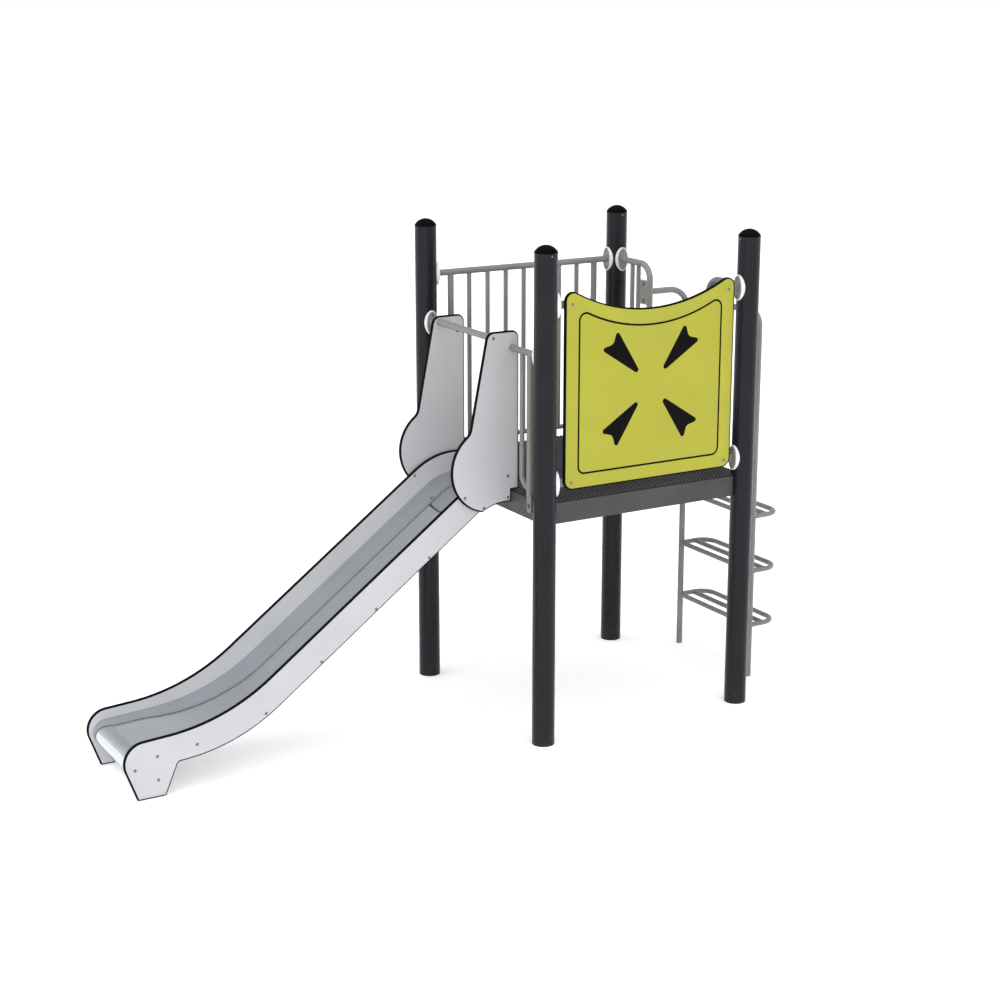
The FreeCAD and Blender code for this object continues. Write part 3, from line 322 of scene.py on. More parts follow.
# ---- mesh helpers ---------------------------------------------------------------
def linked(name, data):
    """A new object in the scene."""
    made = bpy.data.objects.new(name, data)
    bpy.context.scene.collection.objects.link(made)
    return made


def place(name, mesh, slot, *nodes):
    """Links a finished mesh as a piece that rides on the body and stands for the nodes."""
    piece = linked(name, mesh)
    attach(piece, "root")
    if nodes:
        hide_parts(*nodes)
    return piece


def smooth(mesh, degrees=35):
    """Smooth shading, with edges sharper than the angle left sharp."""
    mesh.shade_smooth()
    mesh.set_sharp_from_angle(angle=math.radians(degrees))


def baked(name, source):
    """Plain mesh of an object with its modifiers worked out; the object is thrown away."""
    graph = bpy.context.evaluated_depsgraph_get()
    mesh = bpy.data.meshes.new_from_object(source.evaluated_get(graph))
    mesh.name = name
    source.modifiers.clear()
    bpy.data.objects.remove(source)
    return mesh


def mesh_of(work, name):
    """The finished mesh of a bmesh, with its faces outwards."""
    bmesh.ops.recalc_face_normals(work, faces=work.faces)
    mesh = bpy.data.meshes.new(name)
    work.to_mesh(mesh)
    work.free()
    return mesh


def bridge(work, rings):
    """Faces between each ring of points and the next one."""
    for near, far in zip(rings, rings[1:]):
        for side in range(len(near)):
            other = (side + 1) % len(near)
            work.faces.new((near[side], far[side], far[other], near[other]))


def softened(node, width, segments, angle):
    """A copy of a part with its sharp edges rounded."""
    mesh = cad[node].data.copy()
    work = bmesh.new()
    work.from_mesh(mesh)
    bmesh.ops.remove_doubles(work, verts=work.verts, dist=0.00002)
    bmesh.ops.dissolve_limit(work, angle_limit=math.radians(0.5), verts=work.verts, edges=work.edges)
    sharp = [edge for edge in work.edges
             if len(edge.link_faces) == 2 and edge.calc_face_angle(0) > math.radians(angle)]
    bmesh.ops.bevel(work, geom=sharp, offset=width, segments=segments, profile=0.5, affect="EDGES",
                    clamp_overlap=True)
    work.to_mesh(mesh)
    work.free()
    mesh.materials.clear()
    return mesh


def front_outline(node):
    """Outer outline (x, z) of a board that stands in the XZ plane, without its screw holes."""
    work = bmesh.new()
    work.from_mesh(cad[node].data)
    bmesh.ops.remove_doubles(work, verts=work.verts, dist=0.00001)
    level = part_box(node)[0].y
    rim = {}
    for edge in work.edges:
        flat = [abs(face.normal.y) > 0.999 and abs(face.calc_center_median().y - level) < 0.0001
                for face in edge.link_faces]
        if len(flat) == 2 and flat[0] != flat[1]:
            first, last = edge.verts
            rim.setdefault(first, []).append(last)
            rim.setdefault(last, []).append(first)
    loops = []
    while rim:
        start_vertex = next(iter(rim))
        loop, at, before = [], start_vertex, None
        while at in rim:
            following = [vertex for vertex in rim.pop(at) if vertex is not before]
            loop.append((at.co.x, at.co.z))
            before, at = at, next((vertex for vertex in following if vertex in rim), start_vertex)
        loops.append(loop)
    work.free()
    return max(loops, key=lambda points: max(x for x, z in points) - min(x for x, z in points))


def turned_left(points):
    """The outline with its inside on the left of the way it runs, without points on straight runs."""
    area = sum(x0 * z1 - x1 * z0 for (x0, z0), (x1, z1) in zip(points, points[1:] + points[:1]))
    ordered = points if area > 0 else points[::-1]
    kept = []
    for k, at in enumerate(ordered):
        before, after = ordered[k - 1], ordered[(k + 1) % len(ordered)]
        bend = (at[0] - before[0]) * (after[1] - at[1]) - (at[1] - before[1]) * (after[0] - at[0])
        if abs(bend) > 1e-9:
            kept.append(at)
    return kept


def moved_in(points, distance):
    """Every side of the outline moved inwards by the same distance."""
    moved = []
    for k, at in enumerate(points):
        before, after = Vector(points[k - 1]), Vector(points[(k + 1) % len(points)])
        here = Vector(at)
        first, second = (here - before).normalized(), (after - here).normalized()
        inward = Vector((-first.y - second.y, first.x + second.x))
        reach = distance / max(0.3, 1 + first.dot(second))
        moved.append((here.x + inward.x * reach, here.y + inward.y * reach))
    return moved


def rounded_slab(outline, y_low, y_high, ease, steps=4):
    """Standing board with both rims rounded over; its two flats come first."""
    rings = []
    for k in range(steps + 1):
        angle = math.pi / 2 * k / steps
        rings.append((ease * (1 - math.sin(angle)), y_low + ease * (1 - math.cos(angle))))
    rings += [(inset, y_high + y_low - y) for inset, y in reversed(rings)]
    work = bmesh.new()
    made = []
    for inset, y in rings:
        made.append([work.verts.new((x, y, z)) for x, z in moved_in(outline, inset)])
    work.faces.new(made[0])
    work.faces.new(made[-1][::-1])
    bridge(work, made)
    return mesh_of(work, "slab")


board_round_over = 0.0088
board_flats = 2


def two_tone_board(node, slot, skin):
    """Board with coloured faces; its rounded edges show the black core."""
    low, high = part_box(node)
    mesh = rounded_slab(turned_left(front_outline(node)), low.y, high.y, board_round_over)
    mesh.materials.append(skin)
    mesh.materials.append(core)
    smooth(mesh, 50)
    for face in mesh.polygons:
        face.material_index = 0 if face.index < board_flats else 1
        face.use_smooth = face.index >= board_flats
    return place(node + "_board", mesh, slot, node)


def revolved(profile, centre, sides=72):
    """Solid of a closed outline (radius, height) turned about an upright axis."""
    work = bmesh.new()
    points = [work.verts.new((radius, 0, height)) for radius, height in profile]
    edges = [work.edges.new(pair) for pair in zip(points, points[1:])]
    bmesh.ops.spin(work, geom=points + edges, cent=(0, 0, 0), axis=(0, 0, 1), angle=math.tau, steps=sides)
    bmesh.ops.remove_doubles(work, verts=work.verts, dist=0.00001)
    bmesh.ops.translate(work, verts=work.verts, vec=centre)
    mesh = mesh_of(work, "revolved")
    smooth(mesh)
    return mesh


def arc(cx, cy, radius, start_angle, end_angle, steps):
    """Points along an arc, both ends included; angles in degrees."""
    turns = [math.radians(start_angle + (end_angle - start_angle) * k / steps) for k in range(steps + 1)]
    return [(cx + radius * math.cos(turn), cy + radius * math.sin(turn)) for turn in turns]


# ---- posts and caps ---------------------------------------------------------------
post_wall = 0.0036
post_ease = 0.0008
cap_overhang = 0.0010
cap_lip = 0.004
cap_brim_rise = 0.0012
cap_brim_ease = 0.0009
plug_gap = 0.0006
plug_depth = 0.045
plug_wall = 0.004
plug_floor = 0.001


def post_tube(name, centre):
    """Open tube with eased ends."""
    inner = post_radius - post_wall
    wall = [(inner, post_ease), (inner + post_ease, 0), (post_radius - post_ease, 0),
            (post_radius, post_ease), (post_radius, post_top - post_ease),
            (post_radius - post_ease, post_top), (inner, post_top), (inner, post_ease)]
    mesh = revolved(wall, centre)
    mesh.materials.append(post_coat)
    place("post_" + name + "_tube", mesh, "post_paint", "post_" + name)


def post_cap(name, centre):
    """Dome over the post, with a hollow plug that reaches down into it."""
    brim, rise = post_radius + cap_overhang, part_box("cap_" + name)[1].z - post_top
    crown = (brim ** 2 + (rise - cap_lip) ** 2) / (2 * (rise - cap_lip))
    half = math.degrees(math.asin(brim / crown))
    dome = arc(0, rise - crown, crown, 90, 90 - half, 18)
    plug = post_radius - post_wall - plug_gap
    outline = [(radius, height + post_top) for radius, height in dome]
    outline += [(brim, post_top + cap_brim_rise), (brim - cap_brim_ease, post_top + 0.0002),
                (plug, post_top + 0.0001), (plug, post_top - plug_depth),
                (plug - plug_wall, post_top - plug_depth), (plug - plug_wall, post_top - plug_floor),
                (0, post_top - plug_floor)]
    mesh = revolved(outline, centre)
    mesh.materials.append(cap_black)
    place("cap_" + name + "_dome", mesh, "cap_plastic", "cap_" + name)


def posts_and_caps():
    for name in corners:
        centre = Vector((post_middle[name].x, post_middle[name].y, 0))
        post_tube(name, centre)
        post_cap(name, centre)


# ---- repeats by geometry nodes ------------------------------------------------------
def of_type(sockets, kind, name=None):
    """The first socket of a type, and of a name where one is given."""
    return next(socket for socket in sockets if socket.type == kind and name in (None, socket.name))


def node_group(title, inputs):
    """A node group with one mesh output; gives the tree and the identifier of each input."""
    tree = bpy.data.node_groups.new(title, "GeometryNodeTree")
    tree.interface.new_socket("Geometry", in_out="OUTPUT", socket_type="NodeSocketGeometry")
    names = {}
    for name, kind, value in inputs:
        socket = tree.interface.new_socket(name, in_out="INPUT", socket_type="NodeSocket" + kind)
        if value is not None:
            socket.default_value = value
        names[name] = socket.identifier
    return tree, names


def grown(name, source, group, values):
    """Plain mesh that a node group makes from a source mesh."""
    tree, names = group
    holder = linked(name + "_source", source)
    modifier = holder.modifiers.new(tree.name, "NODES")
    modifier.node_group = tree
    for key, value in values.items():
        modifier[names[key]] = value
    return baked(name, holder)


def scatter_tree():
    """Puts one small object on every point: its +Z takes the point's facing, its +X the point's along."""
    tree, names = node_group("set_on_points", [
        ("Points", "Geometry", None), ("Piece", "Object", None), ("Size", "Float", 1.0),
        ("Random Turn", "Float", 0.0), ("Seed", "Int", 0), ("Finish", "Material", None)])
    inlet = add(tree, "NodeGroupInput")
    outlet = add(tree, "NodeGroupOutput")
    source = add(tree, "GeometryNodeObjectInfo")
    facing = add(tree, "GeometryNodeInputNamedAttribute", {"Name": "facing"}, data_type="FLOAT_VECTOR")
    align = add(tree, "FunctionNodeAlignRotationToVector", axis="Z")
    along = add(tree, "GeometryNodeInputNamedAttribute", {"Name": "along"}, data_type="FLOAT_VECTOR")
    square = add(tree, "FunctionNodeAlignRotationToVector", axis="X", pivot_axis="Z")
    turn = add(tree, "FunctionNodeRandomValue", data_type="FLOAT")
    twist = add(tree, "FunctionNodeAxisAngleToRotation", {"Axis": (0, 0, 1)})
    both = add(tree, "FunctionNodeRotateRotation", rotation_space="LOCAL")
    put = add(tree, "GeometryNodeInstanceOnPoints")
    real = add(tree, "GeometryNodeRealizeInstances")
    finish = add(tree, "GeometryNodeSetMaterial")
    join(tree, inlet.outputs["Piece"], source.inputs["Object"])
    join(tree, of_type(facing.outputs, "VECTOR"), align.inputs["Vector"])
    join(tree, inlet.outputs["Random Turn"], of_type(turn.inputs, "VALUE", "Max"))
    join(tree, inlet.outputs["Seed"], turn.inputs["Seed"])
    join(tree, of_type(turn.outputs, "VALUE"), twist.inputs["Angle"])
    join(tree, of_type(along.outputs, "VECTOR"), square.inputs["Vector"])
    join(tree, align.outputs["Rotation"], square.inputs["Rotation"])
    join(tree, square.outputs["Rotation"], both.inputs["Rotation"])
    join(tree, twist.outputs["Rotation"], both.inputs["Rotate By"])
    join(tree, inlet.outputs["Points"], put.inputs["Points"])
    join(tree, source.outputs["Geometry"], put.inputs["Instance"])
    join(tree, both.outputs["Rotation"], put.inputs["Rotation"])
    join(tree, inlet.outputs["Size"], put.inputs["Scale"])
    join(tree, put.outputs["Instances"], real.inputs["Geometry"])
    join(tree, real.outputs["Geometry"], finish.inputs["Geometry"])
    join(tree, inlet.outputs["Finish"], finish.inputs["Material"])
    join(tree, finish.outputs["Geometry"], outlet.inputs["Geometry"])
    return tree, names


set_on_points = scatter_tree()
masters = []


def scattered(name, piece, spots, slot, finish, nodes=(), size=1.0, turn=math.tau, seed=1):
    """Copies of `piece` as one plain mesh; each spot is a position, its facing and maybe its along."""
    cloud = bpy.data.meshes.new(name + "_points")
    cloud.from_pydata([spot[0] for spot in spots], [], [])
    for column, title in enumerate(("facing", "along")[:len(spots[0]) - 1], 1):
        ways = cloud.attributes.new(title, "FLOAT_VECTOR", "POINT")
        for row, spot in zip(ways.data, spots):
            row.vector = spot[column]
    values = {"Piece": piece, "Size": size, "Random Turn": turn, "Seed": seed, "Finish": finish}
    return place(name, grown(name, cloud, set_on_points, values), slot, *nodes)


def hidden_piece(name, mesh):
    """Master copy that the repeats are made from; it is removed at the end."""
    piece = linked(name, mesh)
    piece.hide_render = True
    masters.append(piece)
    return piece


head_radius = 0.008
head_height = 0.0036
socket_reach = 0.0029
socket_depth = 0.0022
head_sides = 30


def round_points(work, reach, height):
    """A ring of points; `reach` gives the distance from the axis for an angle."""
    angles = [math.tau * side / head_sides for side in range(head_sides)]
    return [work.verts.new((reach(angle) * math.cos(angle), reach(angle) * math.sin(angle), height))
            for angle in angles]


def hexagon_reach(share):
    """Distance from the axis to the wall of a six-sided socket, for an angle."""
    sixth = math.tau / 6
    return lambda angle: socket_reach * share / math.cos(angle % sixth - sixth / 2)


def button_head():
    """Domed screw head with a six-sided socket, its seat at the origin and its axis +Z."""
    work = bmesh.new()
    crown = (head_radius ** 2 + head_height ** 2) / (2 * head_height)
    socket_rim = socket_reach * 1.22
    outline = [(head_radius - 0.0003, -0.0004), (head_radius, 0.0003)]
    for k in range(1, 6):
        radius = head_radius + (socket_rim - head_radius) * k / 5
        outline.append((radius, head_height - crown + math.sqrt(crown ** 2 - radius ** 2)))
    rings = [round_points(work, lambda angle: radius, height) for radius, height in outline]
    rings.append(round_points(work, hexagon_reach(1.0), outline[-1][1] - 0.0002))
    rings.append(round_points(work, hexagon_reach(0.97), head_height - socket_depth))
    bridge(work, rings)
    work.faces.new(rings[-1])
    work.faces.new(rings[0][::-1])
    mesh = mesh_of(work, "button_head")
    smooth(mesh, 40)
    return mesh


def solid_boxes(node):
    """Low and high corner of every separate solid in a part, in a steady order."""
    work = bmesh.new()
    work.from_mesh(cad[node].data)
    bmesh.ops.remove_doubles(work, verts=work.verts, dist=0.00001)
    left = set(work.verts)
    found = []
    while left:
        group, edge = [], [left.pop()]
        while edge:
            vertex = edge.pop()
            group.append(vertex.co.copy())
            for link in vertex.link_edges:
                other = link.other_vert(vertex)
                if other in left:
                    left.remove(other)
                    edge.append(other)
        low = Vector([min(co[k] for co in group) for k in range(3)])
        high = Vector([max(co[k] for co in group) for k in range(3)])
        found.append((low, high))
    work.free()
    return sorted(found, key=lambda pair: tuple(round(value, 4) for value in pair[0]))


def side_heads(node):
    """Seat and outward way of screws that lie along Y, heads away from the slide's axis."""
    spots = []
    for low, high in solid_boxes(node):
        centre = (low + high) / 2
        sign = 1 if centre.y > 0 else -1
        face = high.y if sign > 0 else low.y
        spots.append((Vector((centre.x, face - sign * head_height, centre.z)), Vector((0, sign, 0))))
    return spots


def wing_screw_heads():
    """Most heads lie outside the wings; the hoop's screw is driven from inside."""
    spots = []
    for low, high in solid_boxes("wing_screws"):
        centre = (low + high) / 2
        sign = 1 if centre.y > 0 else -1
        outside = high.y if sign > 0 else low.y
        inside = low.y if sign > 0 else high.y
        in_line_with_posts = abs(centre.x - (tower_x - half_bay)) < 0.005
        face, way = (inside, -sign) if in_line_with_posts else (outside, sign)
        spots.append((Vector((centre.x, face - way * head_height, centre.z)), Vector((0, way, 0))))
    return spots


def away_from_posts(node, height):
    """Screws that point into a post: their heads face away from its axis."""
    spots = []
    for low, high in solid_boxes(node):
        centre = (low + high) / 2
        post = min(post_middle.values(), key=lambda at: (at.xy - centre.xy).length)
        offset = centre.xy - post.xy
        axis = 0 if abs(offset.x) > abs(offset.y) else 1
        way = Vector((0, 0, 0))
        way[axis] = math.copysign(1, offset[axis])
        seat = centre.copy()
        seat[axis] = (high if way[axis] > 0 else low)[axis] - way[axis] * height
        spots.append((seat, way))
    return spots


def fasteners():
    """Domed heads on every visible screw; a kept part's own heads are covered by slightly larger ones."""
    head = hidden_piece("head_master", button_head())
    small, cover = 0.625, 1.04
    panel = [(Vector(((low.x + high.x) / 2, low.y + head_height, (low.z + high.z) / 2)), -y_way)
             for low, high in solid_boxes("panel_screws")]
    kinds = [
        ("side_screw_heads", side_heads("side_screws"), ("side_screws",), 1.0, 3),
        ("wing_screw_heads", wing_screw_heads(), ("wing_screws",), 1.0, 4),
        ("wing_bolt_heads", side_heads("wing_bolts"), (), cover, 5),
        ("flange_screw_heads", away_from_posts("flange_screws", head_height), ("flange_screws",), 1.0, 6),
        ("cap_screw_heads", away_from_posts("cap_screws", head_height * small), ("cap_screws",), small, 7),
        ("panel_screw_heads", panel, (), cover, 8),
    ]
    for name, spots, nodes, size, seed in kinds:
        scattered(name, head, spots, "screw_steel", screw_metal, nodes, size=size, seed=seed)


# ---- weld beads -----------------------------------------------------------------------
rail_radius = 0.01685
bar_radius = 0.0125
tread_radius = 0.01345
tab_half_width = 0.020
flange_thickness = 0.004
bead_radius = 0.0019


def weld_bead(tube, rail, steps=60, sides=7):
    """Rippled bead where a tube (axis Z) lands on a rail (axis X) or, with no rail, on a flat."""
    work = bmesh.new()
    rings = []
    for k in range(steps):
        around = math.tau * k / steps
        lift = math.sqrt(max(0, rail ** 2 - (tube * math.sin(around)) ** 2)) if rail else 0
        out = Vector((math.cos(around), math.sin(around), 0))
        core_line = out * tube + z_way * lift
        swell = bead_radius * (1 + 0.16 * math.sin(20 * around) + 0.08 * math.sin(7 * around))
        turns = [math.tau * side / sides for side in range(sides)]
        rings.append([work.verts.new(core_line + swell * (math.cos(turn) * out + math.sin(turn) * z_way))
                      for turn in turns])
    bridge(work, rings + rings[:1])
    mesh = mesh_of(work, "weld_bead")
    mesh.shade_smooth()
    return mesh


def guard_welds():
    """Spots on the barred guard, by pair: two thin bars, thin bar on thick tube, two thick tubes."""
    top, low = middle("guard_top_rail").z, middle("guard_bottom_rail").z
    y = middle("guard_bottom_rail").y
    bars = [((low_end + high_end) / 2).x for low_end, high_end in solid_boxes("guard_bars")]
    ends = [middle("guard_end_tube_slide").x, middle("guard_end_tube_ladder").x]
    thin = [(Vector((x, y, low)), z_way, x_way) for x in bars]
    thick = [(Vector((x, y, top)), -z_way, x_way) for x in bars]
    tubes = [(Vector((x, y, top)), -z_way, x_way) for x in ends]
    sideways = [(Vector((x, y, low)), x_way * (1 if x < tower_x else -1), z_way) for x in ends]
    return thin, thick + sideways, tubes


def half_guard_welds():
    """The same kinds of spots on the two narrow guards beside the ladder."""
    top, low = middle("guard_top_rail").z, middle("guard_bottom_rail").z
    x = middle("half_guard_balusters").x
    bars = [((low_end + high_end) / 2).y for low_end, high_end in solid_boxes("half_guard_balusters")]
    end = abs(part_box("half_guard_panel")[1].y) + tab_half_width
    thin = [(Vector((x, y, low)), z_way, y_way) for y in bars]
    thick = [(Vector((x, y, top)), -z_way, y_way) for y in bars]
    thick += [(Vector((x, side * end, low)), side * y_way, z_way) for side in (-1, 1)]
    return thin, thick


def hoop_welds():
    """Inner bars and uprights of the two short frames beside the wings."""
    rail = middle("hoop_rail_panel")
    upright = abs(middle("hoop_upright_panel").y)
    x = tower_x - half_bay
    inner_low, inner_high = solid_boxes("hoop_inner_bars")[0]
    inner = min(abs(inner_low.y), abs(inner_high.y)) + bar_radius
    foot = inner_low.z + bar_radius
    thick, tubes = [], []
    for side in (-1, 1):
        thick.append((Vector((x, side * inner, rail.z)), -z_way, y_way))
        thick.append((Vector((x, side * upright, foot)), -side * y_way, z_way))
        tubes.append((Vector((x, side * upright, rail.z)), -z_way, y_way))
    return thick, tubes


def tread_welds():
    """Loop ends and back bars on the ladder rails, middle bars on the loops."""
    ladder_x, bar_x = middle("tread_back_bars").x, middle("tread_middle_bars").x
    rail_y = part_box("tread_loop_1")[1].y - tread_radius
    on_rails, on_loops = [], []
    for level in (1, 2, 3):
        z = middle("tread_loop_%d" % level).z
        for side in (-1, 1):
            on_rails.append((Vector((ladder_x, side * rail_y, z)), x_way, z_way))
            on_rails.append((Vector((ladder_x, side * rail_y, z)), -side * y_way, z_way))
            on_loops.append((Vector((bar_x, side * rail_y, z)), -side * y_way, x_way))
    return on_rails, on_loops


def flange_welds():
    """Rings where the rails stand on their oval flanges."""
    low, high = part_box("guard_top_rail")
    rail = middle("guard_top_rail")
    spots = [(Vector((low.x + flange_thickness, rail.y, rail.z)), x_way),
             (Vector((high.x - flange_thickness, rail.y, rail.z)), -x_way)]
    for node, end, top in (("hoop_rail", -half_bay, middle("hoop_rail_panel").z),
                           ("half_guard", half_bay, rail.z)):
        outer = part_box(node + "_guard")[1].y - flange_thickness
        for side in (-1, 1):
            spots.append((Vector((tower_x + end, side * outer, top)), -side * y_way))
    return spots


def welds():
    """Beads at every joint of the tube frames, by the sizes of the two tubes."""
    guard_thin, guard_thick, guard_tubes = guard_welds()
    half_thin, half_thick = half_guard_welds()
    hoop_thick, hoop_tubes = hoop_welds()
    on_rails, on_loops = tread_welds()
    kinds = [
        ("bar_on_bar", bar_radius, bar_radius, guard_thin + half_thin),
        ("bar_on_rail", bar_radius, rail_radius, guard_thick + half_thick + hoop_thick),
        ("tube_on_rail", rail_radius, rail_radius, guard_tubes + hoop_tubes),
        ("tread_on_rail", tread_radius, rail_radius, on_rails),
        ("tread_on_tread", tread_radius, tread_radius, on_loops),
        ("rail_on_flange", rail_radius, 0, flange_welds()),
    ]
    for name, tube, rail, spots in kinds:
        bead = hidden_piece(name + "_master", weld_bead(tube, rail))
        scattered("weld_" + name, bead, spots, "tube_paint", tube_coat, turn=0.0, seed=11)


# ---- boards -------------------------------------------------------------------------
def slide_boards():
    for node in ("slide_side_panel", "slide_side_guard"):
        two_tone_board(node, "slide_board", light_grey_skin)
    for node in ("wing_panel", "wing_guard"):
        two_tone_board(node, "wing_board", light_grey_skin)


panel_dip = 2.170
panel_dish_rise = 0.119
panel_corner = 0.045
panel_foot_corner = 0.050
core_inset = 0.0006
skin_depth = 0.0018
edge_ease = 0.0080
skin_ease = 0.0004


def panel_outline(inset):
    """Outline of the coloured panel (x from its middle, z), moved in by `inset`."""
    low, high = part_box("coloured_panel")
    half = (high.x - low.x) / 2
    dish = ((half - panel_corner) ** 2 + panel_dish_rise ** 2) / (2 * panel_dish_rise)
    dish_z = panel_dip + dish
    shoulder_x = half - panel_corner
    shoulder_z = dish_z - math.sqrt((dish + panel_corner) ** 2 - shoulder_x ** 2)
    return rounded_dish(half - inset, low.z + inset, dish + inset, dish_z, shoulder_x, shoulder_z,
                        panel_corner - inset, panel_foot_corner - inset)


def rounded_dish(half, bottom, dish, dish_z, shoulder_x, shoulder_z, corner, foot):
    """Rounded board outline with a hollow top edge, anticlockwise from the bottom right."""
    reach = math.degrees(math.atan2(dish_z - shoulder_z, -shoulder_x))
    top = math.degrees(math.asin(shoulder_x / (dish + corner)))
    points = arc(half - foot, bottom + foot, foot, -90, 0, 8)
    points += arc(shoulder_x, shoulder_z, corner, 0, reach, 12)
    points += arc(0, dish_z, dish, 270 + top, 270 - top, 48)[1:-1]
    points += arc(-shoulder_x, shoulder_z, corner, 180 - reach, 180, 12)
    points += arc(-half + foot, bottom + foot, foot, 180, 270, 8)
    return points


line_half = 0.421
line_bottom = 1.381
line_low = 2.087
line_rise = 0.092
line_corner = 0.036
line_width = 0.0100


def routed_line(offset):
    """The thin line that follows the panel's edge further in."""
    half = line_half + offset
    corner = line_corner + offset
    reach = line_half - line_corner
    dish = (reach ** 2 + line_rise ** 2) / (2 * line_rise)
    dish_z = line_low + dish
    shoulder_z = dish_z - math.sqrt((dish + line_corner) ** 2 - reach ** 2)
    return rounded_dish(half, line_bottom - offset, dish - offset, dish_z, reach, shoulder_z,
                        corner, corner)


def rounded_loop(points, radii, steps=6):
    """Closed outline with its corners rounded."""
    loop = []
    count = len(points)
    for k in range(count):
        at = Vector(points[k])
        before = (Vector(points[k - 1]) - at).normalized()
        after = (Vector(points[(k + 1) % count]) - at).normalized()
        half = before.angle(after) / 2
        reach = radii[k] / math.tan(half)
        first, last = at + before * reach, at + after * reach
        centre = at + (before + after).normalized() * (radii[k] / math.sin(half))
        begin = (first - centre).angle_signed(Vector((1, 0)))
        sweep = (last - centre).angle_signed(first - centre)
        for step in range(steps + 1):
            angle = begin + sweep * step / steps
            loop.append((centre.x + radii[k] * math.cos(angle), centre.y + radii[k] * math.sin(angle)))
    return loop


wedge_middle_z = 1.780


def wedge(flip_x, flip_z):
    """Routed wedge that points at the panel's middle, notched on its outer end."""
    tip, wide_a, wide_b, notch = (0.046, 0.046), (0.203, 0.299), (0.299, 0.208), (0.224, 0.227)
    shape = rounded_loop([tip, wide_b, notch, wide_a], [0.013, 0.012, 0.028, 0.012])
    return [(flip_x * x, wedge_middle_z + flip_z * z) for x, z in shape]


def flat_board(name, loops, y_front, thickness, centre_x):
    """Fills nested outlines in the XZ plane and gives them a thickness with a small chamfer."""
    curve = bpy.data.curves.new(name, "CURVE")
    curve.dimensions = "2D"
    curve.fill_mode = "BOTH"
    curve.extrude = thickness / 2 - skin_ease
    curve.bevel_depth = skin_ease
    curve.bevel_resolution = 1
    curve.offset = -skin_ease
    for loop in loops:
        spline = curve.splines.new("POLY")
        spline.points.add(len(loop) - 1)
        for point, (x, z) in zip(spline.points, loop):
            point.co = (x, z, 0, 1)
        spline.use_cyclic_u = True
    mesh = baked(name, linked(name, curve))
    stand = Matrix(((1, 0, 0, centre_x), (0, 0, 1, y_front + thickness / 2), (0, 1, 0, 0), (0, 0, 0, 1)))
    mesh.transform(stand)
    work = bmesh.new()
    work.from_mesh(mesh)
    bmesh.ops.remove_doubles(work, verts=work.verts, dist=0.000005)
    bmesh.ops.recalc_face_normals(work, faces=work.faces)
    work.to_mesh(mesh)
    work.free()
    smooth(mesh, 30)
    return mesh


def panel_layer(name, finish, loops, y_front, thickness, nodes=()):
    low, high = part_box("coloured_panel")
    mesh = flat_board(name, loops, y_front, thickness, (low.x + high.x) / 2)
    mesh.materials.append(finish)
    place(name, mesh, "panel_board", *nodes)


def coloured_panel():
    """Black core with a lime skin on both faces; the line and wedges are cut through the front one."""
    low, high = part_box("coloured_panel")
    cuts = [routed_line(line_width / 2), routed_line(-line_width / 2)]
    cuts += [wedge(flip_x, flip_z) for flip_x in (-1, 1) for flip_z in (-1, 1)]
    face = panel_outline(edge_ease)
    panel_layer("panel_core", core, [panel_outline(core_inset)], low.y + skin_depth,
                high.y - low.y - 2 * skin_depth, ["coloured_panel"])
    panel_layer("panel_front_skin", lime_skin, [face] + cuts, low.y, skin_depth)
    panel_layer("panel_back_skin", lime_skin, [face], high.y - skin_depth, skin_depth)


# ---- collars, deck ribs ------------------------------------------------------------
collar_ease = 0.0022
rib_pitch = 0.0156
rib_width = 0.0058
rib_height = 0.0042
rib_sink = 0.001
rib_square = 1.72
deck_inset = 0.003
post_clearance = 0.0035


def collars():
    """The rings between posts and flanges, with rounded rims."""
    for node in ("guard_collars", "hoop_collars", "ladder_collars", "panel_collars"):
        mesh = softened(node, collar_ease, 3, 50)
        mesh.materials.append(collar_grey)
        smooth(mesh, 45)
        place(node + "_rounded", mesh, "collar_plastic", node)


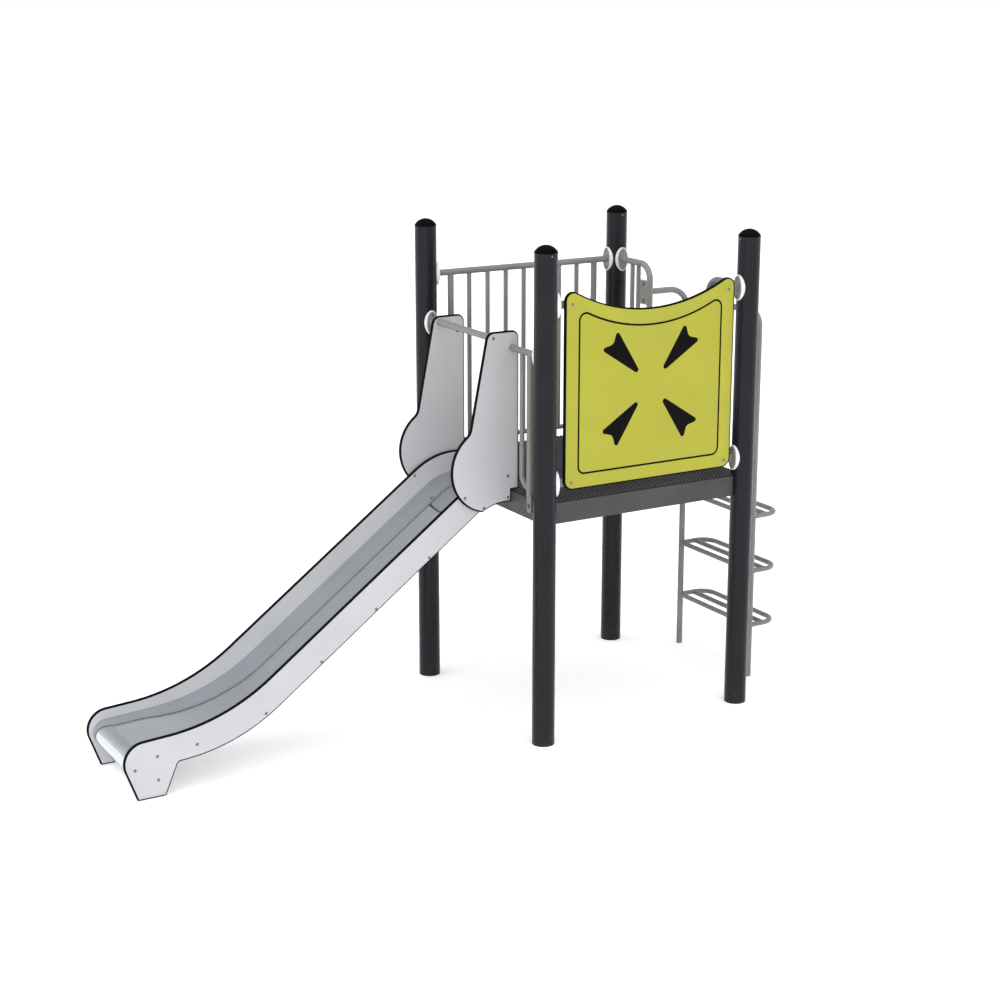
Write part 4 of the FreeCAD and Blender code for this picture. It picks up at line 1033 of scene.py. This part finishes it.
def rib_tree():
    """Parallel ribs across a square, cut to the outline of the board they lie on."""
    tree, names = node_group("deck_ribs", [
        ("Outline", "Geometry", None), ("Centre", "Vector", None), ("Reach", "Float", rib_square),
        ("Pitch", "Float", rib_pitch), ("Width", "Float", rib_width), ("Height", "Float", rib_height),
        ("Finish", "Material", None)])
    inlet = add(tree, "NodeGroupInput")
    outlet = add(tree, "NodeGroupOutput")
    count = add(tree, "ShaderNodeMath", operation="DIVIDE")
    line = add(tree, "GeometryNodeMeshLine", mode="OFFSET")
    step = add(tree, "ShaderNodeCombineXYZ")
    begin = add(tree, "ShaderNodeCombineXYZ")
    half = add(tree, "ShaderNodeMath", {1: -0.5}, operation="MULTIPLY")
    size = add(tree, "ShaderNodeCombineXYZ")
    bar = add(tree, "GeometryNodeMeshCube")
    put = add(tree, "GeometryNodeInstanceOnPoints")
    turn = add(tree, "GeometryNodeTransform", {"Rotation": (0, 0, math.radians(45))})
    real = add(tree, "GeometryNodeRealizeInstances")
    cut = add(tree, "GeometryNodeMeshBoolean", operation="INTERSECT", solver="EXACT")
    finish = add(tree, "GeometryNodeSetMaterial")
    join(tree, inlet.outputs["Reach"], count.inputs[0])
    join(tree, inlet.outputs["Pitch"], count.inputs[1])
    join(tree, count.outputs["Value"], line.inputs["Count"])
    join(tree, inlet.outputs["Pitch"], step.inputs["Y"])
    join(tree, step.outputs["Vector"], line.inputs["Offset"])
    join(tree, inlet.outputs["Reach"], half.inputs[0])
    join(tree, half.outputs["Value"], begin.inputs["Y"])
    join(tree, begin.outputs["Vector"], line.inputs["Start Location"])
    join(tree, inlet.outputs["Reach"], size.inputs["X"])
    join(tree, inlet.outputs["Width"], size.inputs["Y"])
    join(tree, inlet.outputs["Height"], size.inputs["Z"])
    join(tree, size.outputs["Vector"], bar.inputs["Size"])
    join(tree, line.outputs["Mesh"], put.inputs["Points"])
    join(tree, bar.outputs["Mesh"], put.inputs["Instance"])
    join(tree, put.outputs["Instances"], turn.inputs["Geometry"])
    join(tree, inlet.outputs["Centre"], turn.inputs["Translation"])
    join(tree, turn.outputs["Geometry"], real.inputs["Geometry"])
    meshes = [socket for socket in cut.inputs if socket.name in ("Mesh", "Mesh 2")]
    join(tree, real.outputs["Geometry"], meshes[-1])
    join(tree, inlet.outputs["Outline"], meshes[-1])
    join(tree, cut.outputs["Mesh"], finish.inputs["Geometry"])
    join(tree, inlet.outputs["Finish"], finish.inputs["Material"])
    join(tree, finish.outputs["Geometry"], outlet.inputs["Geometry"])
    return tree, names


def deck_outline(low, high):
    """Upright prism of the deck's outline, with round bites for the posts."""
    bite = post_radius + post_clearance
    reach = math.sqrt(bite ** 2 - deck_inset ** 2)
    start_angle = math.degrees(math.atan2(-deck_inset, -reach)) % 360
    end_angle = math.degrees(math.atan2(-reach, -deck_inset)) % 360
    corner = [Vector(at) for at in arc(half_bay, half_bay, bite, end_angle, start_angle, 10)]
    turns = [Matrix.Rotation(math.radians(90 * k), 2) for k in range(4)]
    loop = [turn @ at for turn in turns for at in corner]
    work = bmesh.new()
    floor = [work.verts.new((x + tower_x, y, low)) for x, y in loop]
    lifted = bmesh.ops.extrude_face_region(work, geom=[work.faces.new(floor)])
    risen = [made for made in lifted["geom"] if isinstance(made, bmesh.types.BMVert)]
    bmesh.ops.translate(work, verts=risen, vec=(0, 0, high - low))
    return mesh_of(work, "deck_outline")


def deck_ribs():
    """Diagonal ribs all over the deck; their feet sink a little into the board."""
    outline = deck_outline(deck_top - rib_sink, deck_top + rib_height)
    values = {"Centre": (tower_x, 0, deck_top), "Reach": rib_square, "Pitch": rib_pitch,
              "Width": rib_width, "Height": 2 * rib_height, "Finish": rib_painted_highlight}
    place("deck_ribs", grown("deck_ribs", outline, rib_tree(), values), "deck_plate")


# ---- studio ---------------------------------------------------------------------------
camera_azimuth = -30.39
camera_elevation = 14.96
camera_lens = 71.44
camera_from_tower = Vector((-5.5207, -8.5605, 3.7686))
floor_reach = 600
floor_drop = 0.0005
sun_energy = 2.6
sun_spread = 115
sun_way = Vector((0.45, 0.5, -1))


def aimed(made, way):
    """Turns a camera or lamp to look along a direction."""
    made.rotation_mode = "QUATERNION"
    made.rotation_quaternion = way.to_track_quat("-Z", "Y")


def camera():
    data = bpy.data.cameras.new("camera")
    data.lens = camera_lens
    data.sensor_width = 36
    data.clip_end = 200
    made = linked("camera", data)
    azimuth, elevation = math.radians(camera_azimuth), math.radians(camera_elevation)
    level = math.cos(elevation)
    aimed(made, -Vector((math.sin(azimuth) * level, -math.cos(azimuth) * level, math.sin(elevation))))
    made.location = camera_from_tower + Vector((tower_x, 0, 0))
    bpy.context.scene.camera = made


def studio():
    """A wide pale floor, the studio sky and one very broad sun."""
    work = bmesh.new()
    bmesh.ops.create_grid(work, x_segments=1, y_segments=1, size=floor_reach)
    mesh = bpy.data.meshes.new("ground")
    work.to_mesh(mesh)
    work.free()
    mesh.materials.append(ground_paper())
    ground = linked("ground", mesh)
    ground.location = (0, 0, -floor_drop)
    sky()
    sun = bpy.data.lights.new("broad_sun", "SUN")
    sun.energy = sun_energy
    sun.angle = math.radians(sun_spread)
    aimed(linked("broad_sun", sun), sun_way)
    bpy.context.scene.view_settings.view_transform = "Standard"


def sky():
    """Bright near the horizon, dimmer higher up, as a studio tent with an open top."""
    world = bpy.data.worlds.new("studio_sky")
    world.use_nodes = True
    tree = world.node_tree
    level = span(tree, coordinate(tree, "Z", "Generated"), 0.05, 0.5, 1.0, 0.56)
    background = tree.nodes["Background"]
    background.inputs["Color"].default_value = (0.985, 0.99, 1.0, 1)
    join(tree, level, background.inputs["Strength"])
    bpy.context.scene.world = world


camera()
dress_parts()
posts_and_caps()
slide_boards()
coloured_panel()
collars()
deck_ribs()
fasteners()
welds()
studio()

for master in masters:
    bpy.data.objects.remove(master)
